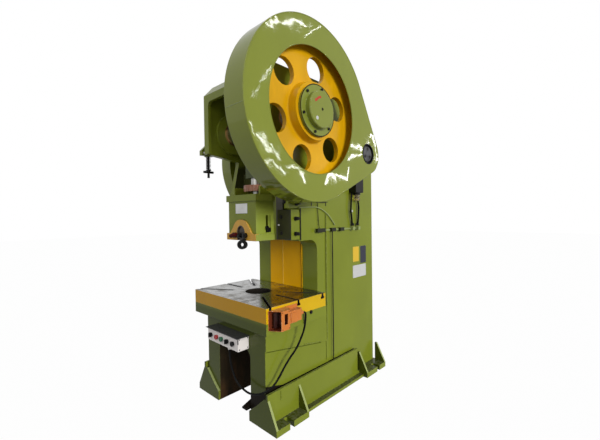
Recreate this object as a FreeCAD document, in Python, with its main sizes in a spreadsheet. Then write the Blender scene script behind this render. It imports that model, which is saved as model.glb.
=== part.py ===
import FreeCAD, Part
import math
import os
import re
import Sketcher

# Open-front crank press with a fixed bed. X runs to the gear side, Y to the back, Z up.
# All lengths are millimetres. Places are measured from the slide's axis and from the floor.

doc = FreeCAD.newDocument("stamping_press")
sheet = doc.addObject("Spreadsheet::Sheet", "Sizes")

sizes = {
    # bolster and bed
    "table_height": 955, "bolster_width": 1000, "bolster_depth": 680, "bolster_thick": 115,
    "bolster_hole": 115, "bed_thick": 88, "bed_hole": 130,
    "slot_start": 235, "slot_turn": 31, "slot_neck": 22, "slot_neck_depth": 25,
    "slot_wide": 40, "slot_depth": 45,
    # slide and guides, at top dead centre
    "slide_width": 380, "slide_depth": 340, "slide_tall": 390, "open_height": 467,
    "slide_low": "=table_height + open_height", "slide_top": "=slide_low + slide_tall",
    "slide_flange": 56, "slide_lip": 19, "slide_shoe": 42, "shoe_lip": 13,
    "way_middle": 76, "way_base": 50, "way_tip": 10, "way_reach": 72, "way_play": 0.3,
    "gib_gap": 46, "gib_front": 28, "gib_lift": 5, "gib_tall": 253,
    "gib_inner": "=slide_width / 2 + gib_gap", "gib_low": "=slide_low + gib_lift", "gib_top": "=gib_low + gib_tall",
    "screw_shank": 9, "screw_long": 46, "screw_nut": 17, "screw_nut_thick": 12, "screw_tip": 15,
    "pocket_across": 65, "pocket_spare": 3, "shank_hole": 30, "shank_depth": 75,
    "seat_rise": 123, "seat_floor": "=slide_low + seat_rise", "seat_thick": 25, "ball_room": 17,
    "plate_left": 85, "plate_wide": 163, "plate_tall": 84, "plate_rise": 231, "plate_thick": 2,
    # clamp cap on the slide's foot
    "cap_half": 203, "cap_foot": 58, "cap_waist": 150, "cap_tip": 62, "cap_tall": 178, "cap_flare": 45,
    "cap_crown": 105, "cap_proud": 15, "cap_recess": 46, "cap_recess_depth": 12, "cap_thick": 32, "cap_play": 0.5,
    "cap_inner": 160, "cap_stud": 72, "stud_radius": 12, "stud_out": 34, "stud_nut": 23, "stud_nut_thick": 26,
    "stud_rise": 44, "set_screw": 14, "set_screw_head": 20, "eye_across": 66, "eye_drop": 32, "eye_radius": 36,
    "eye_hole": 19, "eye_thick": 14, "eye_back": 30, "eye_swing": 43,
    "knockout_forward": 50, "knockout_thick": 24, "knockout_tall": 30, "knockout_slot": 139, "knockout_end": 30,
    # crank train
    "throw": 65, "ball_radius": 60, "rod_long": 827,
    "crank_height": "=seat_floor + seat_thick + ball_room + ball_radius + rod_long - throw",
    "journal": 95, "bush_wall": 14, "fit": 0.05,
    "pin_radius": 85, "rod_half": 62, "web_thick": 70, "crank_web": 158, "web_play": 4,
    "gear_journal": 80, "drum_journal": 75,
    "rod_eye": 145, "rod_shoulder": 60, "rod_width": 150, "rod_split": 2, "cap_bolt": 36, "bolt_out": 38,
    "screw_radius": 50, "screw_neck": 36, "ratchet_radius": 115, "ratchet_thick": 56,
    "ratchet_gap": 33, "ratchet_low": "=slide_top + ratchet_gap",
    "rod_gap": 62, "rod_low": "=ratchet_low + ratchet_thick + rod_gap",
    # welded frame
    "frame_width": 800, "side_wall": 50, "wall": 30, "foot_plate": 50, "column_play": 28,
    "column_width": "=(frame_width - slide_width) / 2 - column_play",
    "leg_front": 270, "column_rear": 1272, "throat_gap": 12, "throat_drop": 13, "throat_corner": 90,
    "throat_depth": "=bolster_depth / 2 + throat_gap", "throat_height": "=gib_low - throat_drop",
    "seat_front": 125, "gib_spare": 10, "seat_top": "=gib_top + gib_spare",
    "neck_back": 62, "neck_low_drop": 569, "neck_high_drop": 279, "under_drop": 253, "sill_drop": 211,
    "neck_low": "=crank_height - neck_low_drop", "neck_high": "=crank_height - neck_high_drop",
    "head_under": "=crank_height - under_drop", "head_sill": "=crank_height - sill_drop",
    "brow_rise": 318, "head_rise": 421, "column_drop": 29, "box_drop": 369,
    "head_brow": "=crank_height + brow_rise", "head_top": "=crank_height + head_rise",
    "column_top": "=crank_height - column_drop", "box_top": "=crank_height - box_drop",
    "head_front": 280, "roof_front": 187, "roof_back": 500, "head_rim": 70, "head_lintel": 64, "window_corner": 40,
    "arch_top": 560, "arch_corner": 75,
    "back_wall_gap": 35, "back_wall_place": "=slide_depth / 2 + back_wall_gap",
    "back_wall_low": "=throat_height + wall", "rear_wall_low": 300,
    "boss_radius": 190, "boss_inside": 30, "boss_outside": 15,
    "doubler_back": 470, "doubler_low_front": 594, "doubler_low_back": 478, "doubler": 8,
    # base rails
    "foot_out": 141, "foot_reach": "=frame_width / 2 + foot_out", "foot_length": 357, "foot_front": 290,
    "rail_gap": 25, "rail_plate": 20, "rail_height": 280, "rail_back": 907, "rail_flange": 50, "flange_thick": 25,
    "gusset": 20, "gusset_rise": 235, "notch_width": 44, "notch_depth": 60, "notch_front": 163, "notch_back": 215,
    "toe_low": 80, "toe_mid": 135, "toe_wide": 110, "toe_in": "=frame_width / 2 - toe_wide",
    "tray_wide": 57.7, "tray_gap": 0.3, "tray_front": 25, "tray_deep": 150, "tray_thick": 12, "tray_rise": 40,
    # gears
    "module": 12, "gear_teeth": 107, "pinion_teeth": 18, "backlash": 0.7, "pinion_drop": 231.8,
    "gear_off": 145, "hub_start": "=frame_width / 2 + gear_off", "hub_long": 160, "hub_end": "=hub_start + hub_long",
    "rim_back": 15, "gear_start": "=hub_start + rim_back", "gear_face": 120,
    "rim_deep": 72, "rim_inside": "=module * gear_teeth / 2 - rim_deep",
    "web_in": 77, "web_front": "=gear_start + web_in", "web_plate": 40,
    "hub_radius": 215, "hole_circle": 358, "web_hole": 100, "hole_turn": 16.7, "gear_bush_wall": 18,
    "flange_radius": 189, "flange_plate": 23, "cap_radius": 138, "cap_long": 66, "cap_end": "=hub_end + cap_long",
    "end_short": 7, "crank_end": "=hub_end - end_short", "hub_screw": 11, "hub_screw_in": 22,
    # countershaft and flywheel
    "shaft_radius": 55, "housing_radius": 125, "housing_reach": 60,
    "pinion_over": 5, "pinion_start": "=gear_start - pinion_over", "pinion_length": "=gear_face + 2 * pinion_over",
    "shaft_stub": 15, "shaft_end": "=pinion_start + pinion_length + shaft_stub",
    "guard_off": 112, "guard_start": "=frame_width / 2 + guard_off",
    "wheel_off": 10, "wheel_start": "=guard_start + wheel_off", "wheel_radius": 580, "wheel_width": 110,
    "wheel_rim": 50, "wheel_web": 30, "wheel_hub": 110, "groove_count": 4, "groove_pitch": 26,
    "groove_top": 20, "groove_floor": 16, "groove_depth": 16, "belt_width": 15, "belt_thick": 11, "belt_sink": 13,
    # motor
    "base_thick": 38, "base_high": 400, "motor_radius": 150, "motor_clear": 10, "motor_length": 330,
    "motor_back": "=column_rear + base_thick + motor_radius + motor_clear", "motor_height": 1500,
    "motor_inner": 140, "pulley_radius": 102, "motor_shaft": 24, "shaft_in": 60,
    "motor_nose": 40, "motor_tail": 30, "motor_tail_radius": 60, "fin_radius": 9, "motor_edge": 10,
    "motor_foot_high": 240, "wire_box": 130, "wire_box_deep": 120, "wire_box_high": 75,
    # covers
    "cover_room": 26, "cover_radius": "=module * (gear_teeth + 2) / 2 + cover_room",
    "lobe_room": 58, "cover_lobe": "=module * (pinion_teeth + 2) / 2 + lobe_room",
    "cover_back": 46, "cover_start": "=gear_start - cover_back", "cover_deep": 197,
    "cover_end": "=cover_start + cover_deep", "cover_sheet": 4, "cover_window": 469, "cover_eye": 87, "cover_lip": 35,
    "guard_room": 60, "guard_radius": "=wheel_radius + guard_room",
    "pulley_room": 73, "guard_lobe": "=pulley_radius + pulley_room",
    "guard_front": 23, "guard_end": "=wheel_start + wheel_width + guard_front",
    "guard_window": 430, "guard_lip": 90, "stay_radius": 22,
    # brake
    "drum_radius": 170, "drum_off": 20, "drum_start": "=frame_width / 2 + drum_off", "drum_width": 80,
    "drum_hub": 35, "drum_web": 40, "drum_rim": 20,
    "band_lining": 12, "band_strip": 5, "band_width": 70, "band_play": 0.4,
    "lug_top": 30, "lug_thick": 14, "lug_deep": 44, "lug_low": 112,
    "tie_radius": 11, "tie_off": 36, "tie_forward": "=drum_radius + tie_off", "tie_drop": 415,
    "tie_low": "=crank_height - tie_drop", "cross_rise": 54, "cross_height": "=tie_low + cross_rise", "cross_long": 100,
    "spring_radius": 20, "spring_wire": 6, "spring_turns": 9, "spring_rise": 76, "spring_long": 122,
    "spring_low": "=tie_low + spring_rise", "spring_high": "=spring_low + spring_long",
    "washer": 26, "washer_thick": 6, "tie_nut": 18, "tie_nut_thick": 16, "top_nut": 16, "top_nut_thick": 14,
    "tie_top": 20, "bracket_thick": 14, "bracket_deep": 54, "bracket_edge": 30,
    "anchor_off": 56, "anchor_forward": "=tie_forward + anchor_off", "anchor_drop": 189,
    "anchor_height": "=crank_height - anchor_drop", "anchor_radius": 14, "anchor_long": 75, "anchor_pad": 22,
    # throat cover
    "panel_short": 14, "panel_top": "=throat_height - panel_short", "panel_side": 0.5,
    "panel_half": "=frame_width / 2 - column_width - panel_side", "panel_fold": 30, "panel_proud": 10.5, "panel_gap": 1, "panel_foot": 0.3,
    # control box
    "box_left": 230, "box_right": 200, "box_deep": 105, "box_hang": 184, "box_tall": 104,
    "box_low": "=table_height - bolster_thick - bed_thick - box_hang",
    "box_sheet": 2, "lid_thick": 5, "lid_lip": 14, "button_rise": 52, "button_height": "=box_low + button_rise",
    "button_radius": 15, "button_play": 0.4, "button_travel": 5, "button_stem": 34, "button_rim": 5, "button_head": 10,
    "knob_wide": 8, "knob_out": 13, "knob_tall": 34,
    "gland_across": 21, "gland_radius": 14, "gland_drop": 34, "gland_back": 60, "gland_neck": 10, "gland_wall": 4,
    # foot switch
    "pedal_side": "=bolster_width / 2", "pedal_out": 90, "pedal_reach": "=pedal_side + pedal_out",
    "case_out": 62, "case_reach": "=pedal_side + case_out", "case_corner": 14,
    "pedal_front": 322, "pedal_back": 22, "pedal_drop": 20, "pedal_tall": 145,
    "pedal_top": "=table_height - pedal_drop", "pedal_low": "=pedal_top - pedal_tall",
    "pedal_wall": 5, "hood_front": 268, "hood_back": 186, "hood_slope": 30,
    "entry_across": 30, "entry_rise": 72, "entry_radius": 15, "entry_long": 34, "entry_out": 24,
    "window_front": 240, "window_long": 34, "window_rise": 42, "window_tall": 78,
    "case_rise": 30, "case_tall": 88, "case_panel": 5, "case_panel_front": 150, "case_panel_back": 84, "base_sheet": 6,
    "treadle_thick": 6, "treadle_across": 26, "treadle_front": 30, "treadle_long": 96, "treadle_gap": 12,
    "treadle_eye": 9, "pin_thick": 5,
    # lubrication
    "oil_block_front": 850, "oil_block_length": 130, "oil_block_reach": 85, "oil_block_drop": 559,
    "oil_block_low": "=crank_height - oil_block_drop", "oil_block_tall": 140,
    "bowl_radius": 30, "bowl_drop": 60, "bowl_neck": 20, "bowl_rim": 6, "bowl_across": 45, "bowl_back": 75,
    "manifold_rise": 71, "manifold_height": "=throat_height + manifold_rise",
    "manifold_front": 319, "manifold_back": 990, "manifold_bar": 12, "manifold_tall": 16,
    "valve_out": 40, "valve_drop": 8, "valve_tall": 34, "valve_small": 34, "valve_wide": 60, "valve_long": 110,
    "pipe_radius": 5, "pipe_place": 547, "pipe_across": 22, "pipe_low": 290,
    "short_pipe": 280, "short_pipe_drop": 65, "short_pipe_back": 10, "hose_radius": 9, "hose_out": 25, "cable_radius": 8,
    # the slide's axis lies to the left of the middle of the whole press and in front of it
    "axis_left": 58, "axis_front": 482.5,
}
for row, (name, size) in enumerate(sizes.items(), 1):
    sheet.set(f"A{row}", name)
    sheet.set(f"B{row}", str(size))
    sheet.setAlias(f"B{row}", name)
doc.recompute()

word = re.compile(r"[a-z]+(?:_[a-z]+)*")


def formula(text):
    return word.sub(lambda found: "Sizes." * (found.group(0) in sizes) + found.group(0), str(text))


def value(text):
    return float(sheet.evalExpression(formula(text)))


def bind(thing, **properties):
    for name, text in properties.items():
        thing.setExpression(name, formula(text))


def put(thing, x=0, y=0, z=0):
    for name, text in (("x", x), ("y", y), ("z", z)):
        thing.setExpression(f"Placement.Base.{name}", formula(text))
    return thing


def block(x, y, z, width, depth, height):
    thing = doc.addObject("Part::Box", "block")
    bind(thing, Length=width, Width=depth, Height=height)
    return put(thing, x, y, z)


along = {
    "X": FreeCAD.Rotation(FreeCAD.Vector(0, 1, 0), 90),
    "Y": FreeCAD.Rotation(FreeCAD.Vector(1, 0, 0), -90),
    "Z": FreeCAD.Rotation(),
}


def bar(axis, radius, length, x, y, z):
    thing = doc.addObject("Part::Cylinder", "bar")
    thing.Placement.Rotation = along[axis]
    bind(thing, Radius=radius, Height=length)
    return put(thing, x, y, z)


def join(*things):
    if len(things) == 1:
        return things[0]
    thing = doc.addObject("Part::MultiFuse", "join")
    thing.Shapes = things
    thing.Refine = True
    return thing


def cut(base, *tools):
    thing = doc.addObject("Part::Cut", "cut")
    thing.Base = base
    thing.Tool = join(*tools)
    thing.Refine = True
    return thing


def mirrored(source):
    thing = doc.addObject("Part::Mirroring", "mirrored")
    thing.Source = source
    thing.Normal = FreeCAD.Vector(1, 0, 0)
    return thing


planes = {
    "XY": FreeCAD.Rotation(),
    "XZ": FreeCAD.Rotation(FreeCAD.Vector(1, 0, 0), 90),
    "YZ": FreeCAD.Rotation(FreeCAD.Vector(1, 1, 1), 120),
}


def hold(sketch, kind, *where, text):
    index = sketch.addConstraint(Sketcher.Constraint(kind, *where, value(text)))
    sketch.renameConstraint(index, f"size{index}")
    sketch.setExpression(f"Constraints.size{index}", formula(text))


def draw(plane, *loops):
    # Each loop is a circle (across, up, radius) or a list of corners (across, up) or, rounded, (across, up, radius).
    sketch = doc.addObject("Sketcher::SketchObject", "outline")
    sketch.Placement.Rotation = planes[plane]
    for loop in loops:
        if isinstance(loop, tuple):
            across, up, radius = loop
            middle = FreeCAD.Vector(value(across), value(up), 0)
            circle = sketch.addGeometry(Part.Circle(middle, FreeCAD.Vector(0, 0, 1), value(radius)))
            hold(sketch, "DistanceX", -1, 1, circle, 3, text=across)
            hold(sketch, "DistanceY", -1, 1, circle, 3, text=up)
            hold(sketch, "Radius", circle, text=radius)
        else:
            draw_corners(sketch, loop)
    return sketch


def draw_corners(sketch, loop):
    corners = [FreeCAD.Vector(value(corner[0]), value(corner[1]), 0) for corner in loop]
    ends = []
    for i, corner in enumerate(loop):
        here = corners[i]
        if len(corner) == 2:
            ends.append((here, here))
            continue
        back = (corners[i - 1] - here).normalize()
        onward = (corners[(i + 1) % len(corners)] - here).normalize()
        reach = value(corner[2]) / math.tan(back.getAngle(onward) / 2)
        ends.append((here + back * reach, here + onward * reach))
    lines = []
    for i in range(len(loop)):
        after = ends[(i + 1) % len(loop)]
        lines.append(sketch.addGeometry(Part.LineSegment(ends[i][1], after[0])))
    for i, corner in enumerate(loop):
        if len(corner) == 2:
            sketch.addConstraint(Sketcher.Constraint("Coincident", lines[i - 1], 2, lines[i], 1))
            hold(sketch, "DistanceX", -1, 1, lines[i], 1, text=corner[0])
            hold(sketch, "DistanceY", -1, 1, lines[i], 1, text=corner[1])
        else:
            round_corner(sketch, corners[i], ends[i], corner, lines[i - 1], lines[i])


def round_corner(sketch, here, ends, corner, line_in, line_out):
    start, stop = ends
    inward = ((start + stop) / 2 - here).normalize()
    radius = value(corner[2])
    reach = start.distanceToPoint(here)
    middle = here + inward * (math.hypot(radius, reach) - radius)
    centre = here + inward * math.hypot(radius, reach)
    first, last = 1, 2
    if (start - centre).cross(stop - centre).z < 0:
        start, stop, first, last = stop, start, 2, 1
    arc = sketch.addGeometry(Part.Arc(start, middle, stop))
    sketch.addConstraint(Sketcher.Constraint("Tangent", line_in, 2, arc, first))
    sketch.addConstraint(Sketcher.Constraint("Tangent", line_out, 1, arc, last))
    hold(sketch, "Radius", arc, text=corner[2])
    point = sketch.addGeometry(Part.Point(here), True)
    hold(sketch, "DistanceX", -1, 1, point, 1, text=corner[0])
    hold(sketch, "DistanceY", -1, 1, point, 1, text=corner[1])
    sketch.addConstraint(Sketcher.Constraint("PointOnObject", point, 1, line_in))
    sketch.addConstraint(Sketcher.Constraint("PointOnObject", point, 1, line_out))


def plate(plane, start, thick, *loops):
    # A sheet cut to an outline: it starts at this distance along the outline's normal (+X for YZ, -Y for XZ, +Z for XY).
    thing = doc.addObject("Part::Extrusion", "plate")
    thing.Base = draw(plane, *loops)
    thing.DirMode = "Normal"
    thing.Solid = True
    thing.FaceMakerClass = "Part::FaceMakerBullseye"
    bind(thing, LengthFwd=thick)
    normal = {"XY": (0, 0, start), "XZ": (0, f"-({start})", 0), "YZ": (start, 0, 0)}[plane]
    return put(thing, *normal)


def turned(y, z, *loops):
    # A round piece on an axis along X: the outline gives distance along the axis, then radius.
    thing = doc.addObject("Part::Revolution", "turned")
    thing.Source = draw("XZ", *loops)
    thing.Axis = FreeCAD.Vector(1, 0, 0)
    thing.Angle = 360
    thing.Solid = True
    return put(thing, 0, y, z)


def shaped(shape):
    thing = doc.addObject("Part::Feature", "shaped")
    thing.Shape = shape
    return thing


nodes = {}


def node(label, *things):
    thing = doc.addObject("Part::Compound", label)
    thing.Label = label
    thing.Links = things
    nodes[label] = thing
    return put(thing, "-axis_left", "-axis_front", 0)


def hull(first, first_radius, second, second_radius):
    # The face inside a taut loop round two circles, seen along X. Centres are (y, z).
    gap = math.hypot(second[0] - first[0], second[1] - first[1])
    lean = math.atan2(second[1] - first[1], second[0] - first[0])
    open_angle = math.acos((first_radius - second_radius) / gap)

    def on(centre, radius, angle):
        return FreeCAD.Vector(0, centre[0] + radius * math.cos(angle), centre[1] + radius * math.sin(angle))

    upper, lower = lean + open_angle, lean - open_angle
    a, b = on(first, first_radius, upper), on(second, second_radius, upper)
    c, d = on(second, second_radius, lower), on(first, first_radius, lower)
    edges = [
        Part.LineSegment(a, b).toShape(),
        Part.Arc(b, on(second, second_radius, lean), c).toShape(),
        Part.LineSegment(c, d).toShape(),
        Part.Arc(d, on(first, first_radius, lean + math.pi), a).toShape(),
    ]
    return Part.Face(Part.Wire(edges))


def gear_face(centre, teeth, tooth_angle, bore):
    # Involute spur gear outline at 20 degrees, seen along X, with the middle of one tooth at tooth_angle.
    pitch = value("module") * teeth / 2
    base = pitch * math.cos(math.radians(20))
    tip, root = pitch + value("module"), pitch - 1.25 * value("module")

    def involute(radius):
        if radius <= base:
            return 0.0
        angle = math.acos(base / radius)
        return math.tan(angle) - angle

    half = (math.pi * value("module") / 2 - value("backlash")) / 2 / pitch + involute(pitch)
    low = max(root, base)
    flank = [low + (tip - low) * share for share in (0, 0.3, 0.65, 1)]
    points = []
    for tooth in range(teeth):
        middle = tooth_angle + 2 * math.pi * tooth / teeth
        rising = [(radius, middle - half + involute(radius)) for radius in flank]
        falling = [(radius, middle + half - involute(radius)) for radius in reversed(flank)]
        if root < low:
            rising.insert(0, (root, middle - half))
            falling.append((root, middle + half))
        for radius, angle in rising + falling:
            points.append(FreeCAD.Vector(0, centre[0] + radius * math.cos(angle), centre[1] + radius * math.sin(angle)))
    face = Part.Face(Part.makePolygon(points + points[:1]))
    hole = Part.makeCircle(bore, FreeCAD.Vector(0, *centre), FreeCAD.Vector(1, 0, 0))
    return face.cut(Part.Face(Part.Wire(hole)))


def extruded(face, start, thick):
    shape = face.extrude(FreeCAD.Vector(thick, 0, 0))
    shape.translate(FreeCAD.Vector(start, 0, 0))
    return shape


# ---- frame -------------------------------------------------------------------------------------
bed_top = "(table_height - bolster_thick)"
bed_low = "(table_height - bolster_thick - bed_thick)"
side = "(frame_width / 2)"
column_in = "(frame_width / 2 - column_width)"

side_plate = plate("YZ", f"{side} - side_wall", "side_wall", [
    ("-leg_front", "foot_plate"), ("-leg_front", bed_low), ("throat_depth", bed_low),
    ("throat_depth", "throat_height", "throat_corner"), ("seat_front", "throat_height"),
    ("seat_front", "seat_top"), (0, "seat_top"), (0, "neck_low"), ("neck_back", "neck_high"),
    ("neck_back", "head_under"), ("-head_front", "head_sill"), ("-head_front", "head_brow"),
    ("-roof_front", "head_top"), ("roof_back", "head_top"), ("column_rear", "column_top"),
    ("column_rear", "foot_plate")])
column = plate("YZ", column_in, "column_width - side_wall / 2", [
    ("-leg_front", "foot_plate"), ("-leg_front", bed_low), ("throat_depth", bed_low),
    ("throat_depth", "throat_height", "throat_corner"), ("seat_front", "throat_height"),
    ("seat_front", "box_top"), ("column_rear", "box_top"), ("column_rear", "foot_plate")])
core = plate("YZ", f"{column_in} + wall", "column_width - side_wall - wall", [
    ("wall - leg_front", "foot_plate + wall"), ("wall - leg_front", f"{bed_low} - wall"),
    ("throat_depth + wall", f"{bed_low} - wall"),
    ("throat_depth + wall", "throat_height + wall", "throat_corner + wall"),
    ("seat_front + wall", "throat_height + wall"), ("seat_front + wall", "box_top - wall"),
    ("column_rear - wall", "box_top - wall"), ("column_rear - wall", "foot_plate + wall")])
doubler = plate("YZ", side, "doubler", [
    ("-leg_front", "doubler_low_front"), ("-leg_front", bed_low), ("doubler_back", bed_low),
    ("doubler_back", "doubler_low_back")])
crank_boss = bar("X", "boss_radius", "boss_inside + side_wall + boss_outside",
                 f"{side} - side_wall - boss_inside", 0, "crank_height")
pinion_back = "sqrt((module * (gear_teeth + pinion_teeth) / 2)^2 - pinion_drop^2)"
pinion_height = "(crank_height - pinion_drop)"
crank_bore = bar("X", "journal + bush_wall", "frame_width", 0, 0, "crank_height")
shaft_bore = bar("X", "housing_radius - wall", "frame_width", 0, pinion_back, pinion_height)
side_frame = cut(join(cut(join(side_plate, column), core), doubler, crank_boss), crank_bore, shaft_bore)

roof = plate("YZ", f"side_wall / 2 - {side}", "frame_width - side_wall", [
    ("-head_front", "head_brow - wall"), ("-head_front", "head_brow"), ("-roof_front", "head_top"),
    ("roof_back", "head_top"), ("column_rear", "column_top"), ("column_rear", "column_top - wall"),
    ("roof_back", "head_top - wall"), ("-roof_front", "head_top - wall")])
brow = plate("XZ", "head_front - wall", "wall", [
    (f"-{side}", "head_sill"), (f"-{side}", "head_brow"), (side, "head_brow"), (side, "head_sill"),
    (f"{side} - head_rim", "head_sill"), (f"{side} - head_rim", "head_brow - head_lintel", "window_corner"),
    (f"head_rim - {side}", "head_brow - head_lintel", "window_corner"), (f"head_rim - {side}", "head_sill")])
bed_plate = cut(
    block("-bolster_width / 2", "-bolster_depth / 2", bed_low, "bolster_width",
          "bolster_depth / 2 + throat_depth", "bed_thick"),
    bar("Z", "bed_hole", "bed_thick", 0, 0, bed_low))
fascia = cut(
    block(f"-{column_in}", "-leg_front", "arch_top - arch_corner", f"2 * {column_in}", "wall",
          f"{bed_low} - arch_top + arch_corner"),
    plate("XZ", "leg_front - wall", "wall", [
        (f"-{column_in}", "foot_plate"), (f"-{column_in}", "arch_top", "arch_corner"),
        (column_in, "arch_top", "arch_corner"), (column_in, "foot_plate")]))
inner_span = f"2 * {column_in}"
back_wall = block(f"-{column_in}", "back_wall_place", "back_wall_low", inner_span, "wall",
                  "box_top - back_wall_low")
rear_wall = block(f"side_wall / 2 - {side}", "column_rear - wall", "rear_wall_low",
                  "frame_width - side_wall", "wall", "column_top - rear_wall_low - wall / 2")
node("frame", join(side_frame, mirrored(side_frame), roof, brow, bed_plate, fascia, back_wall, rear_wall))

# ---- base rails --------------------------------------------------------------------------------


def foot(front, notch_place):
    pad = block(column_in, front, 0, f"foot_reach - {column_in}", "foot_length", "foot_plate")
    front_gusset = plate("XZ", f"-({front}) - gusset", "gusset", [
        (f"{side} + rail_gap", "foot_plate"), (f"{side} + rail_gap", "gusset_rise"),
        (f"{side} + rail_gap + rail_plate", "gusset_rise"), ("foot_reach", "foot_plate")])
    rear_gusset = plate("XZ", f"-({front}) - foot_length", "gusset", [
        (f"{side} + rail_gap", "foot_plate"), (f"{side} + rail_gap", "gusset_rise"),
        (f"{side} + rail_gap + rail_plate", "gusset_rise"), ("foot_reach", "foot_plate")])
    notch_middle = f"({front} + {notch_place})"
    notch = join(
        block("foot_reach - notch_depth", f"{notch_middle} - notch_width / 2", 0, "notch_depth",
              "notch_width", "foot_plate"),
        bar("Z", "notch_width / 2", "foot_plate", "foot_reach - notch_depth", notch_middle, 0))
    return cut(join(pad, front_gusset, rear_gusset), notch)


rear_foot = "(column_rear + gusset - foot_length)"
rail_web = block(f"{side} + rail_gap", "-foot_front", 0, "rail_plate", "foot_front + rail_back",
                 "rail_height")
rail_floor = block(column_in, "-foot_front", 0, f"{side} + rail_gap + rail_plate - {column_in}",
                   "foot_front + column_rear", "foot_plate")
rail_flange = block(f"{side} + rail_gap", "foot_length - foot_front - 10", 0, "rail_plate + rail_flange",
                    "foot_front + column_rear + gusset - 2 * foot_length + 20", "flange_thick")
toe = plate("XZ", "foot_front - gusset", "gusset", [
    (column_in, "foot_plate"), (column_in, "toe_low"), ("toe_in", "toe_mid"), (side, "gusset_rise"),
    (f"{side} + rail_gap", "gusset_rise"), (f"{side} + rail_gap", "foot_plate")])
rail = join(foot("(-foot_front)", "notch_front"), foot(rear_foot, "notch_back"), rail_web, rail_floor, rail_flange, toe)
node("base_rail_right", rail)
node("base_rail_left", mirrored(rail))
node("foot_tray", block(f"{column_in} - tray_gap - tray_wide", "-foot_front - tray_front", "foot_plate + tray_rise",
                        "tray_wide", "tray_deep", "tray_thick"))

# ---- bolster -----------------------------------------------------------------------------------
slot_length = "bolster_width"


def tee_slot(turn):
    thing = plate("YZ", "slot_start", slot_length, [
        ("-slot_neck / 2", "table_height"), ("slot_neck / 2", "table_height"),
        ("slot_neck / 2", "table_height - slot_neck_depth"), ("slot_wide / 2", "table_height - slot_neck_depth"),
        ("slot_wide / 2", "table_height - slot_depth"), ("-slot_wide / 2", "table_height - slot_depth"),
        ("-slot_wide / 2", "table_height - slot_neck_depth"), ("-slot_neck / 2", "table_height - slot_neck_depth")])
    swung = doc.addObject("Part::Compound", "slot")
    swung.Links = [thing]
    swung.Placement.Rotation = FreeCAD.Rotation(FreeCAD.Vector(0, 0, 1), 1)
    bind(swung, **{"Placement.Rotation.Angle": turn})
    return swung


bolster_block = block("-bolster_width / 2", "-bolster_depth / 2", bed_top, "bolster_width",
                      "bolster_depth", "bolster_thick")
bolster_bore = bar("Z", "bolster_hole", "bolster_thick", 0, 0, bed_top)
turns = ("0", "slot_turn", "360 - slot_turn", "180", "180 - slot_turn", "180 + slot_turn")
node("bolster", cut(bolster_block, bolster_bore, *[tee_slot(turn) for turn in turns]))

# ---- throat cover ------------------------------------------------------------------------------
panel_face = "(throat_depth - panel_gap)"
node("throat_panel", plate("XY", "table_height + panel_foot", "panel_top - table_height - panel_foot", [
    ("-panel_half", panel_face), ("-panel_half", f"{panel_face} - 6"), ("-panel_fold", f"{panel_face} - panel_proud"),
    ("panel_half", f"{panel_face} - 8"), ("panel_half", panel_face), ("panel_half - 3", panel_face),
    ("panel_half - 3", f"{panel_face} - 5"), ("-panel_fold", f"{panel_face} - panel_proud + 3"),
    ("3 - panel_half", f"{panel_face} - 3"), ("3 - panel_half", panel_face)]))

# ---- gibs --------------------------------------------------------------------------------------
half_slide = "(slide_width / 2)"
groove_slope = "((way_base - way_tip) / way_reach)"
groove_mouth = f"(way_tip + way_play * 2 + ({half_slide} + way_reach - gib_inner) * {groove_slope})"
gib = plate("XY", "gib_low", "gib_top - gib_low", [
    ("gib_inner", "gib_front"), (side, "gib_front"), (side, "seat_front"), ("gib_inner", "seat_front"),
    ("gib_inner", f"way_middle + {groove_mouth}"),
    (f"{half_slide} + way_reach + way_play", "way_middle + way_tip + way_play * 2"),
    (f"{half_slide} + way_reach + way_play", "way_middle - way_tip - way_play * 2"),
    ("gib_inner", f"way_middle - {groove_mouth}")])
node("gibs", gib, mirrored(gib))


def lock_screw(back, height):
    return join(bar("X", "screw_shank", "screw_long", side, back, height),
                bar("X", "screw_nut", "screw_nut_thick", side, back, height))


def gib_screw(height):
    middle = "((gib_front + seat_front) / 2)"
    return join(lock_screw(middle, height),
                bar("X", "screw_tip", "screw_nut_thick", f"{side} + 2 * screw_nut_thick + 2", middle, height))


gib_screws = [gib_screw(f"gib_low + (gib_top - gib_low) * {share}") for share in (0.2, 0.7)]
gib_screws.append(lock_screw("seat_front - 35", "seat_top + 38"))
node("gib_screws", *gib_screws, *[mirrored(screw) for screw in gib_screws])

# ---- slide -------------------------------------------------------------------------------------
half_depth = "(slide_depth / 2)"
way = plate("XY", "slide_low", "slide_top - slide_low", [
    (f"{half_slide} - 5", "way_middle - way_base"), (half_slide, "way_middle - way_base"),
    (f"{half_slide} + way_reach", "way_middle - way_tip"), (f"{half_slide} + way_reach", "way_middle + way_tip"),
    (half_slide, "way_middle + way_base"), (f"{half_slide} - 5", "way_middle + way_base")])
slide_block = block(f"-{half_slide}", f"-{half_depth}", "slide_low", "slide_width", "slide_depth",
                    "slide_top - slide_low")
slide_flange = block(f"-{half_slide} - slide_lip", f"-{half_depth} - slide_lip * 0.7", "slide_top - slide_flange",
                     "slide_width + 2 * slide_lip", f"{half_depth} + slide_lip * 0.7", "slide_flange")
slide_shoe = block(f"-{half_slide} - shoe_lip", f"-{half_depth}", "slide_low",
                   "slide_width + 2 * shoe_lip", f"{half_depth} + 10", "slide_shoe")
travel_room = "(throw + ball_radius + pocket_spare)"
pocket = block("-pocket_across", f"-{travel_room}", "seat_floor", "2 * pocket_across", f"2 * {travel_room}",
               "slide_top - seat_floor")
shank = bar("Z", "shank_hole", "shank_depth", 0, 0, "slide_low")


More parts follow.
